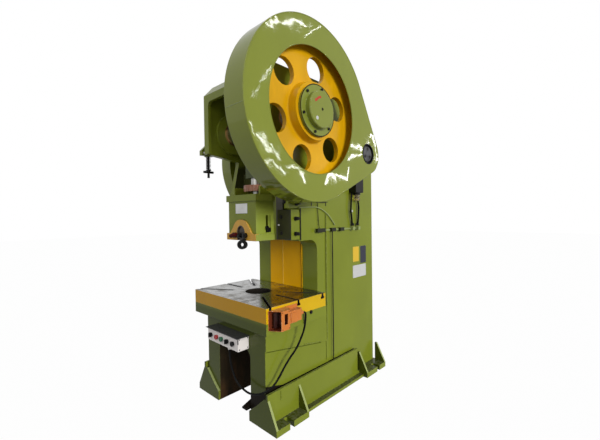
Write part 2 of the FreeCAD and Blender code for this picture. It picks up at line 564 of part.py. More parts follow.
def bell(half, foot, waist, crown, height, start, thick):
    # The front view of the clamp cap: a foot, and on it a bell with flared sides and a round crown.
    return plate("XZ", start, thick, [
        (f"-{half}", "slide_low"), (f"-{half}", f"slide_low + {foot}"),
        (f"-{waist}", f"slide_low + {foot}", "cap_flare"), (f"-{crown}", f"slide_low + {height}", "cap_crown"),
        (crown, f"slide_low + {height}", "cap_crown"), (waist, f"slide_low + {foot}", "cap_flare"),
        (half, f"slide_low + {foot}"), (half, "slide_low")])


cap_face = f"(-{half_depth} - cap_proud)"
recess_face = f"({cap_face} + cap_recess_depth)"
cap_front = f"({half_depth} + cap_proud)"
cap_back = f"({cap_front} - cap_thick)"
cap_room = join(
    bell("(cap_half + cap_play)", "cap_foot + cap_play", "(cap_waist + cap_play)", "(cap_tip + cap_play)",
         "cap_tall + cap_play", f"{cap_back} - cap_play", "cap_thick + cap_play"),
    block("-cap_inner - cap_play", f"-{cap_back}", "slide_low", "2 * (cap_inner + cap_play)", cap_back,
          "cap_foot + cap_play"))
knockout_slot = block(f"-{half_slide}", "-knockout_forward - knockout_thick / 2 - 1", "slide_low + shank_depth",
                      "slide_width", "knockout_thick + 2", "knockout_slot")
node("slide", cut(join(slide_block, slide_flange, slide_shoe, way, mirrored(way)), join(pocket, knockout_slot),
                  shank, cap_room))
knockout_low = "(slide_low + shank_depth)"
node("knockout_bar", join(
    block(f"-{half_slide} - knockout_end", "-knockout_forward - knockout_thick / 2", knockout_low,
          "slide_width + 2 * knockout_end", "knockout_thick", "knockout_tall"),
    block(f"{half_slide} + knockout_end - 16", "-knockout_forward - knockout_thick / 2 - 6", f"{knockout_low} - 4", "16",
          "knockout_thick + 12", "knockout_tall + 8"),
    block(f"-{half_slide} - knockout_end", "-knockout_forward - knockout_thick / 2 - 6", f"{knockout_low} - 4", "16",
          "knockout_thick + 12", "knockout_tall + 8")))
cap_body = join(
    bell("cap_half", "cap_foot", "cap_waist", "cap_tip", "cap_tall", cap_back, "cap_thick"),
    block("-cap_inner", f"-{cap_back}", "slide_low", "2 * cap_inner", f"{cap_back} - cap_play", "cap_foot"))
cap_recess = plate("XZ", f"{cap_front} - cap_recess_depth", "cap_recess_depth", [
    ("-cap_recess", "slide_low"), ("-cap_recess", "slide_low + cap_tall - 60", "cap_recess - 1"),
    ("cap_recess", "slide_low + cap_tall - 60", "cap_recess - 1"), ("cap_recess", "slide_low")])
node("clamp_cap", cut(cut(cap_body, cap_recess), shank))
node("clamp_nuts", *[
    join(bar("Y", "stud_radius", "stud_out", across, f"{cap_face} - stud_out", "slide_low + stud_rise"),
         bar("Y", "stud_nut", "stud_nut_thick", across, f"{cap_face} - stud_nut_thick", "slide_low + stud_rise"))
    for across in ("-cap_stud", "cap_stud")])
ring_face = f"({cap_face} - eye_back)"
eye_ring = cut(bar("Y", "eye_radius", "eye_thick", 0, "-eye_thick / 2", 0), bar("Y", "eye_hole", "eye_thick", 0, "-eye_thick / 2", 0))
swung_eye = doc.addObject("Part::Compound", "eye")
swung_eye.Links = [eye_ring]
swung_eye.Placement.Rotation = FreeCAD.Rotation(FreeCAD.Vector(0, 0, 1), 1)
bind(swung_eye, **{"Placement.Rotation.Angle": "eye_swing"})
put(swung_eye, "eye_across", f"{ring_face} + eye_thick / 2", "slide_low - eye_drop")
eye_foot = block("eye_across - eye_thick / 2", ring_face, "slide_low - 2", "eye_thick", "eye_back", "stud_rise - stud_nut - 1")
clamp_eye = join(swung_eye, eye_foot)
node("clamp_screw", join(
    bar("Y", "set_screw", f"{recess_face} - {cap_face} + 34", 0, f"{cap_face} - 34", "slide_low + stud_rise - 2"),
    bar("Y", "set_screw_head", "28", 0, f"{cap_face} - 20", "slide_low + stud_rise - 2")), clamp_eye)
node("ball_seat", bar("Z", "pocket_across - 3", "seat_thick", 0, 0, "seat_floor"))
node("slide_nameplate", block("-plate_left", f"-{half_depth} - plate_thick", "slide_low + plate_rise", "plate_wide",
                              "plate_thick", "plate_tall"))

# ---- crankshaft and connecting rod ------------------------------------------------------------
pin_height = "(crank_height + throw)"
journal_start = "(rod_half + web_play + web_thick)"
crank_parts = [
    bar("X", "pin_radius", "2 * (rod_half + web_play) + web_thick / 2", "-rod_half - web_play - web_thick / 4", 0, pin_height),
    bar("X", "journal", f"{side} + boss_outside + 2 - {journal_start}", journal_start, 0, "crank_height"),
    bar("X", "journal", f"{side} + boss_outside + 2 - {journal_start}", f"-({side} + boss_outside + 2)", 0, "crank_height"),
    bar("X", "gear_journal", f"crank_end - {side}", side, 0, "crank_height"),
    bar("X", "drum_journal", f"drum_start + drum_width + 10 - {side}", "-drum_start - drum_width - 10", 0, "crank_height"),
]
for start in ("rod_half + web_play", "-rod_half - web_play - web_thick"):
    crank_parts.append(bar("X", "crank_web", "web_thick", start, 0, "crank_height + throw * 0.2"))
node("crankshaft", join(*crank_parts))
drum_turned = turned(0, "crank_height", [
    ("-drum_start - drum_width", "drum_journal"), ("-drum_start - drum_width", "drum_journal + drum_hub"),
    ("-drum_start - drum_web", "drum_journal + drum_hub"), ("-drum_start - drum_web", "drum_radius - drum_rim"),
    ("-drum_start - drum_width", "drum_radius - drum_rim"), ("-drum_start - drum_width", "drum_radius"),
    ("-drum_start", "drum_radius"), ("-drum_start", "drum_journal")])
node("brake_drum", drum_turned)
bush_long = "(boss_inside + side_wall + boss_outside)"
bush = cut(
    bar("X", "journal + bush_wall", bush_long, f"{side} - side_wall - boss_inside", 0, "crank_height"),
    bar("X", "journal + fit", bush_long, f"{side} - side_wall - boss_inside", 0, "crank_height"))
node("crank_bushes", bush, mirrored(bush))

ball_height = "(seat_floor + seat_thick + ball_room + ball_radius)"
bolt_back = "(pin_radius + bolt_out)"
rod_disc = bar("X", "rod_eye", "2 * rod_half", "-rod_half", 0, pin_height)
rod_shoulders = block("-rod_half", "-rod_eye", f"{pin_height} - rod_shoulder", "2 * rod_half", "2 * rod_eye",
                      "2 * rod_shoulder")
rod_arm = block("-rod_half", "-rod_width / 2", "rod_low", "2 * rod_half", "rod_width", f"{pin_height} - rod_low")
rod_bores = join(
    bar("X", "pin_radius + fit", "2 * rod_half", "-rod_half", 0, pin_height),
    bar("Z", "screw_radius", "230", 0, 0, "rod_low"))
rod_places = [(across, deep) for across in ("-cap_bolt", "cap_bolt") for deep in (f"-{bolt_back}", bolt_back)]
nut_rooms = [bar("Z", "22", "rod_eye", across, deep, f"{pin_height} + rod_shoulder") for across, deep in rod_places]
upper_half = block("-rod_half", "-rod_eye", f"{pin_height} - rod_split / 2", "2 * rod_half", "2 * rod_eye", "2 * rod_eye")
lower_half = block("-rod_half", "-rod_eye", f"{pin_height} + rod_split / 2 - 2 * rod_eye", "2 * rod_half",
                   "2 * rod_eye", "2 * rod_eye")
node("connecting_rod", cut(join(rod_disc, rod_shoulders, rod_arm), rod_bores, upper_half))
node("rod_cap", cut(join(rod_disc, rod_shoulders), rod_bores, lower_half, *nut_rooms))
node("rod_bolts", *[join(
    bar("Z", "10", "34", across, deep, f"{pin_height} + rod_shoulder"),
    bar("Z", "17", "20", across, deep, f"{pin_height} + rod_shoulder")) for across, deep in rod_places])
ball = doc.addObject("Part::Sphere", "ball")
bind(ball, Radius="ball_radius")
put(ball, 0, 0, ball_height)
screw = join(ball, bar("Z", "screw_neck", f"ratchet_low - {ball_height}", 0, 0, ball_height),
             bar("Z", "screw_radius", "rod_low + 200 - ratchet_low", 0, 0, "ratchet_low"))
node("adjusting_screw", screw)
ratchet = cut(bar("Z", "ratchet_radius", "ratchet_thick", 0, 0, "ratchet_low"),
              bar("Z", "screw_radius", "ratchet_thick", 0, 0, "ratchet_low"),
              *[bar("Z", "9", "ratchet_thick", f"(ratchet_radius + 3) * cos({15 * i})",
                    f"(ratchet_radius + 3) * sin({15 * i})", "ratchet_low") for i in range(24)])
node("ratchet_ring", ratchet)

# ---- gears -------------------------------------------------------------------------------------
gear_centre = (0.0, value("crank_height"))
pinion_centre = (value(pinion_back), value(pinion_height))
mesh = math.atan2(pinion_centre[1] - gear_centre[1], pinion_centre[0] - gear_centre[0])
gear_pitch = 2 * math.pi / value("gear_teeth")
teeth_ring = extruded(gear_face(gear_centre, int(value("gear_teeth")), mesh + gear_pitch / 2, value("rim_inside + 30")),
                      value("gear_start"), value("gear_face"))
gear_bore = "(gear_journal + gear_bush_wall)"
gear_blank = turned(0, "crank_height", [
    ("hub_start", gear_bore), ("hub_start", "hub_radius - 20"), ("web_front - web_plate", "hub_radius - 20"),
    ("web_front - web_plate", "rim_inside"), ("gear_start", "rim_inside"), ("gear_start", "rim_inside + 40"),
    ("gear_start + gear_face", "rim_inside + 40"), ("gear_start + gear_face", "rim_inside"),
    ("web_front", "rim_inside"), ("web_front", "hub_radius + 12", 10), ("hub_end", "hub_radius"),
    ("hub_end", gear_bore)])
web_holes = [bar("X", "web_hole", "gear_face", "gear_start", f"hole_circle * cos(hole_turn + {60 * i})",
                 f"crank_height + hole_circle * sin(hole_turn + {60 * i})") for i in range(6)]
node("bull_gear", cut(join(gear_blank, shaped(teeth_ring)), *web_holes))
bush_length = "hub_end - hub_start"
node("gear_bush", cut(bar("X", gear_bore, bush_length, "hub_start", 0, "crank_height"),
                      bar("X", "gear_journal + fit", bush_length, "hub_start", 0, "crank_height")))
node("hub_cover", turned(0, "crank_height", [
    ("hub_end", 0), ("hub_end", "flange_radius"), ("hub_end + flange_plate", "flange_radius"),
    ("hub_end + flange_plate", "cap_radius"), ("cap_end - 7", "cap_radius"), ("cap_end", "cap_radius - 7"), ("cap_end", "9"),
    ("cap_end - 25", "9"), ("cap_end - 25", 0)]))
node("hub_bolts", *[bar("X", "hub_screw", "hub_screw - 1", "hub_end + flange_plate",
                        f"(flange_radius - hub_screw_in) * cos({60 * i + 40})",
                        f"crank_height + (flange_radius - hub_screw_in) * sin({60 * i + 40})") for i in range(6)])

pinion_teeth_shape = extruded(gear_face(pinion_centre, int(value("pinion_teeth")), mesh + math.pi, value("shaft_radius - 10")),
                              value("pinion_start"), value("pinion_length"))
countershaft = join(
    shaped(pinion_teeth_shape),
    bar("X", "shaft_radius", f"shaft_end + wheel_start + wheel_width", "-wheel_start - wheel_width", pinion_back, pinion_height))
node("pinion_shaft", countershaft)
housing_hole = bar("X", "shaft_radius + fit", "housing_reach + side_wall", f"{side} - side_wall", pinion_back,
                   pinion_height)
housing = cut(join(
    bar("X", "housing_radius", "housing_reach", side, pinion_back, pinion_height),
    bar("X", "housing_radius - wall", "side_wall", f"{side} - side_wall", pinion_back, pinion_height)), housing_hole)
node("shaft_bearings", housing, mirrored(housing))


def grooved(radius, inner_loop, start, width):
    # The rim of a belt wheel: grooves in its outer side, and what inner_loop adds below.
    first = f"({start} + ({width} - groove_pitch * (groove_count - 1)) / 2)"
    loop = [(f"{start} + {width}", radius)]
    for i in reversed(range(int(value("groove_count")))):
        middle = f"({first} + groove_pitch * {i})"
        loop += [(f"{middle} + groove_top / 2", radius), (f"{middle} + groove_floor / 2", f"{radius} - groove_depth"),
                 (f"{middle} - groove_floor / 2", f"{radius} - groove_depth"), (f"{middle} - groove_top / 2", radius)]
    loop.append((start, radius))
    return loop + inner_loop


wheel_left = "(-wheel_start - wheel_width)"
web_left = "(-wheel_start - wheel_width / 2 - wheel_web / 2)"
web_right = "(-wheel_start - wheel_width / 2 + wheel_web / 2)"
node("flywheel", turned(pinion_back, pinion_height, grooved("wheel_radius", [
    (wheel_left, "wheel_radius - wheel_rim"), (web_left, "wheel_radius - wheel_rim"), (web_left, "wheel_hub"),
    (wheel_left, "wheel_hub"), (wheel_left, "shaft_radius"), ("-wheel_start", "shaft_radius"),
    ("-wheel_start", "wheel_hub"), (web_right, "wheel_hub"), (web_right, "wheel_radius - wheel_rim"),
    ("-wheel_start", "wheel_radius - wheel_rim")], wheel_left, "wheel_width")))
node("motor_pulley", join(
    turned("motor_back", "motor_height", grooved("pulley_radius", [
        (wheel_left, 0), ("-wheel_start", 0)], wheel_left, "wheel_width")),
    bar("X", "motor_shaft", "wheel_start - motor_inner - motor_length + shaft_in", "-wheel_start", "motor_back", "motor_height")))
pulley_centre = (value("motor_back"), value("motor_height"))
belts = []
belt_inner = value("belt_sink")
first_groove = value(f"{wheel_left} + (wheel_width - groove_pitch * (groove_count - 1)) / 2")
for i in range(int(value("groove_count"))):
    outer = hull(pinion_centre, value("wheel_radius") - belt_inner + value("belt_thick"),
                 pulley_centre, value("pulley_radius") - belt_inner + value("belt_thick"))
    inner = hull(pinion_centre, value("wheel_radius") - belt_inner, pulley_centre, value("pulley_radius") - belt_inner)
    middle = first_groove + i * value("groove_pitch")
    belts.append(shaped(extruded(outer.cut(inner), middle - value("belt_width") / 2, value("belt_width"))))
node("v_belts", *belts)

# ---- motor -------------------------------------------------------------------------------------
motor_left = "(-motor_inner - motor_length)"
motor_parts = [
    bar("X", "motor_radius", "motor_length", motor_left, "motor_back", "motor_height"),
    bar("X", "motor_radius * 0.83", "motor_nose", "-motor_inner", "motor_back", "motor_height"),
    bar("X", "motor_tail_radius", "motor_tail", f"{motor_left} - motor_tail", "motor_back", "motor_height"),
    block(f"{motor_left} + 4 * motor_edge", "column_rear + base_thick", "motor_height - motor_foot_high / 2",
          "motor_length - 8 * motor_edge", "motor_back - column_rear - base_thick", "motor_foot_high"),
    block(f"{motor_left} + 9 * motor_edge", "motor_back - wire_box_deep / 2",
          "motor_height + motor_radius - 2 * motor_edge", "wire_box", "wire_box_deep", "wire_box_high"),
]
for i in range(12):
    motor_parts.append(bar("X", "fin_radius", "motor_length - 2 * motor_edge", f"{motor_left} + motor_edge",
                           f"motor_back + motor_radius * cos({30 * i})", f"motor_height + motor_radius * sin({30 * i})"))
node("motor", cut(join(*motor_parts), bar("X", "motor_shaft + fit", "shaft_in + motor_tail + 4 * motor_edge",
                                       f"{motor_left} - motor_tail", "motor_back", "motor_height")))
node("motor_base", block(f"{motor_left} + motor_edge", "column_rear", "motor_height - base_high / 2",
                         "motor_length - 2 * motor_edge", "base_thick", "base_high"))

# ---- gear cover and flywheel guard ------------------------------------------------------------


def cover(centre, radius, lobe_centre, lobe, start, end, window, back_ring):
    sheet_thick = value("cover_sheet")
    outer = extruded(hull(centre, radius, lobe_centre, lobe), start, end - start)
    inner = extruded(hull(centre, radius - sheet_thick, lobe_centre, lobe - sheet_thick), start, end - start)
    shell = outer.cut(inner)
    rim = extruded(hull(centre, radius, lobe_centre, lobe), end - sheet_thick, sheet_thick)
    hole = Part.makeCylinder(window, end - start, FreeCAD.Vector(start, *centre), FreeCAD.Vector(1, 0, 0))
    back = extruded(hull(centre, radius, lobe_centre, lobe), start, sheet_thick)
    back = back.cut(extruded(hull(centre, radius - back_ring, lobe_centre, lobe - back_ring * 0.9), start, sheet_thick))
    return shell.fuse([rim.cut(hole), back])


cover_shape = cover(gear_centre, value("cover_radius"), pinion_centre, value("cover_lobe"), value("cover_start"),
                    value("cover_end"), value("cover_window"), value("cover_lip"))
front_only = value("cover_end - cover_sheet")
eye_hole = Part.makeCylinder(value("cover_eye"), 50, FreeCAD.Vector(front_only, *pinion_centre), FreeCAD.Vector(1, 0, 0))
node("gear_cover", shaped(cover_shape.cut(eye_hole).removeSplitter()))
left_guard = cover(pinion_centre, value("guard_radius"), pulley_centre, value("guard_lobe"), value("guard_start"),
                   value("guard_end"), value("guard_window"), value("guard_lip"))
left_guard = left_guard.mirror(FreeCAD.Vector(0, 0, 0), FreeCAD.Vector(1, 0, 0))
node("flywheel_guard", shaped(left_guard.removeSplitter()))


def stay(y, z, reach, sign):
    start = side if sign > 0 else f"-({reach})"
    return bar("X", "stay_radius", f"{reach} - {side}", start, y, z)


stay_ring = "(cover_radius - 20)"
node("cover_stays", *[stay(y, z, "cover_start", 1) for y, z in (
    (f"{stay_ring} * 0.05", f"crank_height - {stay_ring} * 0.9987"),
    (f"{stay_ring} * 0.72", f"crank_height - {stay_ring} * 0.694"),
    (f"{stay_ring} * 0.82", f"crank_height + {stay_ring} * 0.5724"))])
guard_ring = "(guard_radius - 20)"
node("guard_stays", *[stay(y, z, "guard_start", -1) for y, z in (
    (f"{pinion_back} - {guard_ring} * 0.82", f"{pinion_height} + {guard_ring} * 0.5724"),
    (f"{pinion_back} - {guard_ring} * 0.3", f"{pinion_height} - {guard_ring} * 0.954"),
    (f"{pinion_back} + {guard_ring} * 0.5", f"{pinion_height} - {guard_ring} * 0.866"))])

# ---- brake -------------------------------------------------------------------------------------
band_inner = "(drum_radius + band_play)"
band_start = "(-drum_start - drum_width / 2 - band_width / 2)"
band_outer = f"({band_inner} + band_lining + band_strip)"
band_ring = cut(bar("X", band_outer, "band_width", band_start, 0, "crank_height"),
                bar("X", band_inner, "band_width", band_start, 0, "crank_height"))
band_gap = block(band_start, "-2 * drum_radius", "crank_height - 110", "band_width", "1.4 * drum_radius", "80")
tie_across = "(-drum_start - drum_width / 2)"
lug_width = "(band_width / 2)"
upper_lug = block(f"{tie_across} - {lug_width} / 2", "-tie_forward - 20", "crank_height - lug_top", lug_width,
                  "lug_deep", "lug_thick")
lower_lug = plate("YZ", f"{tie_across} - {lug_width} / 2", lug_width, [
    (f"-{band_inner} + 12", "crank_height - lug_low"), ("-tie_forward - 25", "crank_height - lug_low"),
    ("-anchor_forward - 24", "anchor_height + anchor_pad"), ("-anchor_forward - 24", "anchor_height - anchor_pad"),
    ("-anchor_forward + 20", "anchor_height - anchor_pad"), (f"-{band_inner} + 12", "crank_height - lug_low - 23")])
lug_holes = join(
    bar("Z", "tie_radius + 1", "300", tie_across, "-tie_forward", "crank_height - 200"),
    bar("X", "anchor_radius + 0.1", lug_width, f"{tie_across} - {lug_width} / 2", "-anchor_forward", "anchor_height"))
lower_band = join(cut(band_ring, band_gap), cut(lower_lug, bar("X", band_inner, "band_width", band_start, 0, "crank_height")))
node("brake_band", cut(join(lower_band, upper_lug), lug_holes))
node("brake_anchor", bar("X", "anchor_radius", "anchor_long", f"-{side} - anchor_long", "-anchor_forward", "anchor_height"))
node("brake_rod", join(
    bar("Z", "tie_radius", "crank_height + tie_top - tie_low", tie_across, "-tie_forward", "tie_low"),
    bar("Y", "tie_radius", "cross_long", tie_across, "-tie_forward - cross_long / 2", "cross_height"),
    bar("Z", "washer", "washer_thick", tie_across, "-tie_forward", "spring_low - washer_thick"),
    bar("Z", "tie_nut", "tie_nut_thick", tie_across, "-tie_forward", "spring_low - washer_thick / 3 - tie_nut_thick"),
    bar("Z", "top_nut", "top_nut_thick", tie_across, "-tie_forward", "crank_height - lug_top + lug_thick")))
node("brake_bracket", cut(
    block(f"{tie_across} - bracket_edge", "-tie_forward - 24", "spring_high", f"-{side} - {tie_across} + bracket_edge",
          "bracket_deep", "bracket_thick"),
    bar("Z", "tie_radius + 1", "3 * bracket_thick", tie_across, "-tie_forward", "spring_high - bracket_thick")))


def coil(across, forward, low, high, radius, wire, turns):
    # A round-wire coil: six-sided wire, stepped round the axis sixteen times a turn.
    steps, rings = 16 * turns, []
    rise = (high - low - 2 * wire) / steps
    for step in range(steps + 1):
        angle = math.pi * step / 8
        ring = []
        for corner in range(6):
            out, up = (wire * trig(math.pi * corner / 3) for trig in (math.cos, math.sin))
            ring.append(FreeCAD.Vector(across + (radius + out) * math.cos(angle), forward + (radius + out) * math.sin(angle),
                                       low + wire + rise * step + up))
        rings.append(ring)
    faces = [Part.Face(Part.makePolygon(ring + ring[:1])) for ring in (rings[0], rings[-1])]
    for below, above in zip(rings, rings[1:]):
        for i in range(6):
            a, b, c, d = below[i - 1], below[i], above[i], above[i - 1]
            faces += [Part.Face(Part.makePolygon([a, b, c, a])), Part.Face(Part.makePolygon([a, c, d, a]))]
    shell = Part.Shell(faces)
    shell.sewShape()
    solid = Part.Solid(Part.Shell(shell.Faces))
    if solid.Volume < 0:
        solid.reverse()
    return solid


node("brake_spring", shaped(coil(value(tie_across), value("-tie_forward"), value("spring_low"), value("spring_high"),
                                 value("spring_radius"), value("spring_wire / 2"), int(value("spring_turns")))))

# ---- control box -------------------------------------------------------------------------------
box_front = "(-leg_front - box_deep)"
box_outside = block("-box_left", box_front, "box_low", "box_left + box_right", "box_deep", "box_tall")
box_inside = block("box_sheet - box_left", f"{box_front} + box_sheet", "box_low + box_sheet",
                   "box_left + box_right - 2 * box_sheet", "box_deep - 2 * box_sheet", "box_tall - box_sheet")
button_places = {"selector_left": "-179", "red_button": "-93", "green_button": "-22", "selector_right": "57",
                 "black_button": "135"}
button_holes = [bar("Y", "button_radius + button_play", "20", across, f"{box_front} - 5", "button_height")
                for across in button_places.values()]
gland_hole = bar("Z", "gland_radius - gland_wall", "5 * box_sheet", "gland_across", "-leg_front - gland_back",
                 "box_low - box_sheet")
node("control_box", cut(box_outside, box_inside, gland_hole, *button_holes))
node("control_lid", join(
    block("-box_left - lid_lip", f"{box_front} - lid_lip", "box_low + box_tall", "box_left + box_right + 2 * lid_lip",
          "box_deep + lid_lip", "lid_thick")))
for label, across in button_places.items():
    stem = bar("Y", "button_radius", "button_stem", across, f"{box_front} - 16", "button_height")
    head = bar("Y", "button_radius + button_rim", "button_head", across, f"{box_front} - 18", "button_height")
    if label.startswith("selector"):
        knob = block(f"{across} - knob_wide / 2", f"{box_front} - 17 - knob_out", "button_height - knob_tall / 2",
                     "knob_wide", "knob_out", "knob_tall")
        node(label, join(stem, head, knob))
    else:
        node(label, join(stem, head))
node("cable_gland", cut(join(
    bar("Z", "gland_radius - gland_wall - 0.2", "gland_drop + gland_neck", "gland_across", "-leg_front - gland_back",
        "box_low - gland_drop"),
    bar("Z", "gland_radius", "gland_drop", "gland_across", "-leg_front - gland_back", "box_low - gland_drop")),
    bar("Z", "cable_radius", "gland_drop + gland_neck", "gland_across", "-leg_front - gland_back",
        "box_low - gland_drop")))

# ---- foot switch -------------------------------------------------------------------------------
# It lies on its side against the bolster: its base is the face towards -X, and its mouth is at the front.
hood_outline = [
    ("pedal_side", "-pedal_front"), ("pedal_reach", "-hood_front"), ("pedal_reach", "-hood_back"),
    ("case_reach", "hood_slope - hood_back"), ("pedal_side", "hood_slope - hood_back")]
case_outline = [
    ("pedal_side", "-hood_back"), ("case_reach", "-hood_back"), ("case_reach", "-pedal_back", "case_corner"),
    ("pedal_side", "-pedal_back")]
hood_mouth = [
    ("pedal_side + pedal_wall", "-pedal_front - 5"), ("pedal_reach", "-pedal_front - 5"),
    ("pedal_reach - pedal_wall", "-hood_front"), ("pedal_reach - pedal_wall", "-hood_back - 8"),
    ("case_reach - 30", "-hood_back + 16"), ("pedal_side + pedal_wall", "-hood_back + 16")]
hood_window = block("pedal_reach - pedal_wall", "-window_front", "pedal_low + window_rise", "pedal_wall", "window_long",
                    "window_tall")
switch_hood = cut(plate("XY", "pedal_low", "pedal_tall", hood_outline),
                  plate("XY", "pedal_low + pedal_wall", "pedal_tall - 2 * pedal_wall", hood_mouth), hood_window)
switch_case = join(
    plate("XY", "pedal_low + case_rise", "case_tall", case_outline),
    plate("YZ", "case_reach", "case_panel", [
        ("-case_panel_front", "pedal_low + case_rise + 6", 14), ("-case_panel_front", "pedal_low + case_rise + case_tall - 14", 14),
        ("-case_panel_back", "pedal_low + case_rise + case_tall - 14", 14), ("-case_panel_back", "pedal_low + case_rise + 6", 14)]),
    block("pedal_side", "-pedal_front", "pedal_low", "base_sheet", "pedal_front - pedal_back", "pedal_tall"))
switch_body = join(switch_hood, switch_case)
entry_place = ("pedal_side + entry_across", "pedal_low + entry_rise")
switch_entry = cut(
    bar("Y", "entry_radius", "entry_long", entry_place[0], "-pedal_back", entry_place[1]),
    bar("Y", "cable_radius", "entry_long", entry_place[0], "entry_out - pedal_back", entry_place[1]))
node("pedal_housing", join(switch_body, switch_entry))
treadle_foot = "pedal_low + pedal_wall + treadle_gap"
treadle_width = "pedal_tall - 2 * (pedal_wall + treadle_gap)"
pin_place = ("pedal_side + treadle_across + treadle_thick / 2", "-pedal_front + treadle_front + treadle_long")
treadle_plate = block("pedal_side + treadle_across", "-pedal_front + treadle_front", treadle_foot, "treadle_thick",
                      "treadle_long", treadle_width)
treadle_eye = bar("Z", "treadle_eye", treadle_width, *pin_place, treadle_foot)
treadle_hole = bar("Z", "pin_thick + fit", "pedal_tall", *pin_place, "pedal_low")
node("pedal_treadle", cut(join(treadle_plate, treadle_eye), treadle_hole))
node("pedal_pin", bar("Z", "pin_thick", "pedal_tall - 2 * pedal_wall", *pin_place, "pedal_low + pedal_wall"))

# ---- lubrication -------------------------------------------------------------------------------
node("lubricator", join(
    block(side, "oil_block_front", "oil_block_low", "oil_block_reach", "oil_block_length", "oil_block_tall"),
    bar("Z", "bowl_radius + bowl_rim", "bowl_neck", f"{side} + bowl_across", "oil_block_front + bowl_back",
        "oil_block_low - bowl_neck")))
node("lubricator_bowl", bar("Z", "bowl_radius", "bowl_drop", f"{side} + bowl_across", "oil_block_front + bowl_back",
                            "oil_block_low - bowl_neck - bowl_drop"))
manifold_bar = block(side, "manifold_front", "manifold_height", "manifold_bar", "manifold_back - manifold_front",
                     "manifold_tall")
valves = (("0", "valve_long"), ("0.307", "valve_wide"), ("0.499", "valve_wide"), ("0.805", "valve_small"),
          ("0.949", "valve_small"))
node("oil_manifold", join(manifold_bar, *[
    block(side, f"manifold_front + {share} * (manifold_back - manifold_front)", "manifold_height - valve_drop",
          "valve_out", length, "valve_tall") for share, length in valves]))
node("oil_pipes",
     bar("Z", "pipe_radius", "manifold_height - valve_drop - pipe_low", f"{side} + pipe_across", "pipe_place", "pipe_low"),
     bar("Z", "pipe_radius", "short_pipe", f"{side} + pipe_radius", "seat_front + short_pipe_back",
         "manifold_height - short_pipe_drop"))


# ---- hoses and cable ---------------------------------------------------------------------------


def tube(points, radius, bend):
    # A round tube along straight runs joined by bends: each bend is as wide as its runs allow, up to the given radius.
    corners = [FreeCAD.Vector(*point) for point in points]
    edges, at = [], corners[0]
    for before, here, after in zip(corners, corners[1:], corners[2:]):
        back, onward = (before - here), (after - here)
        half_turn = (math.pi - back.getAngle(onward)) / 2
        if half_turn < 0.01:
            continue
        room = 0.49 * min(back.Length, onward.Length)
        bend_here = min(bend, room / math.tan(half_turn))
        reach = bend_here * math.tan(half_turn)
        start, stop = here + back.normalize() * reach, here + onward.normalize() * reach
        inward = ((start + stop) / 2 - here).normalize()
        middle = here + inward * (math.hypot(bend_here, reach) - bend_here)
        edges += [Part.LineSegment(at, start).toShape(), Part.Arc(start, middle, stop).toShape()]
        at = stop
    edges.append(Part.LineSegment(at, corners[-1]).toShape())
    profile = Part.Wire(Part.makeCircle(radius, corners[0], corners[1] - corners[0]))
    return Part.Wire(edges).makePipeShell([profile], True, False)


hose_x, block_low, bar_high = value(f"{side} + hose_out"), value("oil_block_low"), value("manifold_height")
block_front = value("oil_block_front")
hoses = [
    [(hose_x, block_front + 119, block_low - 0.6), (hose_x, block_front + 119, block_low - 60),
     (hose_x, block_front + 135, block_low - 143), (hose_x - 3, block_front + 131, bar_high + 115),
     (hose_x - 8, block_front + 124, bar_high + 34)],
    [(hose_x, block_front + 6, block_low - 0.6), (hose_x, block_front, block_low - 100),
     (hose_x, block_front - 5, block_low - 185), (hose_x - 2, block_front + 12, bar_high + 105),
     (hose_x - 8, block_front + 26, bar_high + 34)],
]
hose_shapes = [shaped(tube(points, value("hose_radius"), 60)) for points in hoses]
node("oil_hoses", *hose_shapes)
entry_x, entry_z = value(entry_place[0]), value(entry_place[1])
cable_points = [
    (entry_x, 2, entry_z), (entry_x, 52, entry_z), (520, 60, 795), (506, 58, 710), (490, 39, 643), (478, -7, 561), (468, -78, 502),
    (462, -135, 442), (456, -190, 373), (454, -250, 330), (440, -328, 312), (362, -336, 277), (276, -336, 257),
    (186, -335, 269), (109, -333, 299), (51, -331, 383), (value("gland_across"), -330, 470),
    (value("gland_across"), -330, value("box_low - gland_drop + 10"))]
node("control_cable", shaped(tube(cable_points, value("cable_radius"), 60)))

doc.recompute()
failed = [thing for thing in doc.Objects if "Invalid" in thing.State or "Error" in thing.State]
if failed:
    raise RuntimeError("did not build: " + ", ".join(f"{thing.Name} {thing.getStatusString()}" for thing in failed))
for label, thing in nodes.items():
    if thing.Shape.isNull() or not thing.Shape.isValid() or not thing.Shape.Solids:
        raise RuntimeError(f"{label} has no valid shape")
os.makedirs("parts", exist_ok=True)
for label, thing in nodes.items():
    thing.Shape.exportStep(f"parts/{label}.step")
whole = FreeCAD.BoundBox()
for label, thing in nodes.items():
    whole.add(thing.Shape.BoundBox)
    print(f"{label}: {len(thing.Shape.Solids)} solids, {thing.Shape.Volume / 1e6:.2f} litres")
print(len(nodes), "nodes", whole)
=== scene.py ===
import math
import bmesh
import bpy
from mathutils import Matrix, Vector


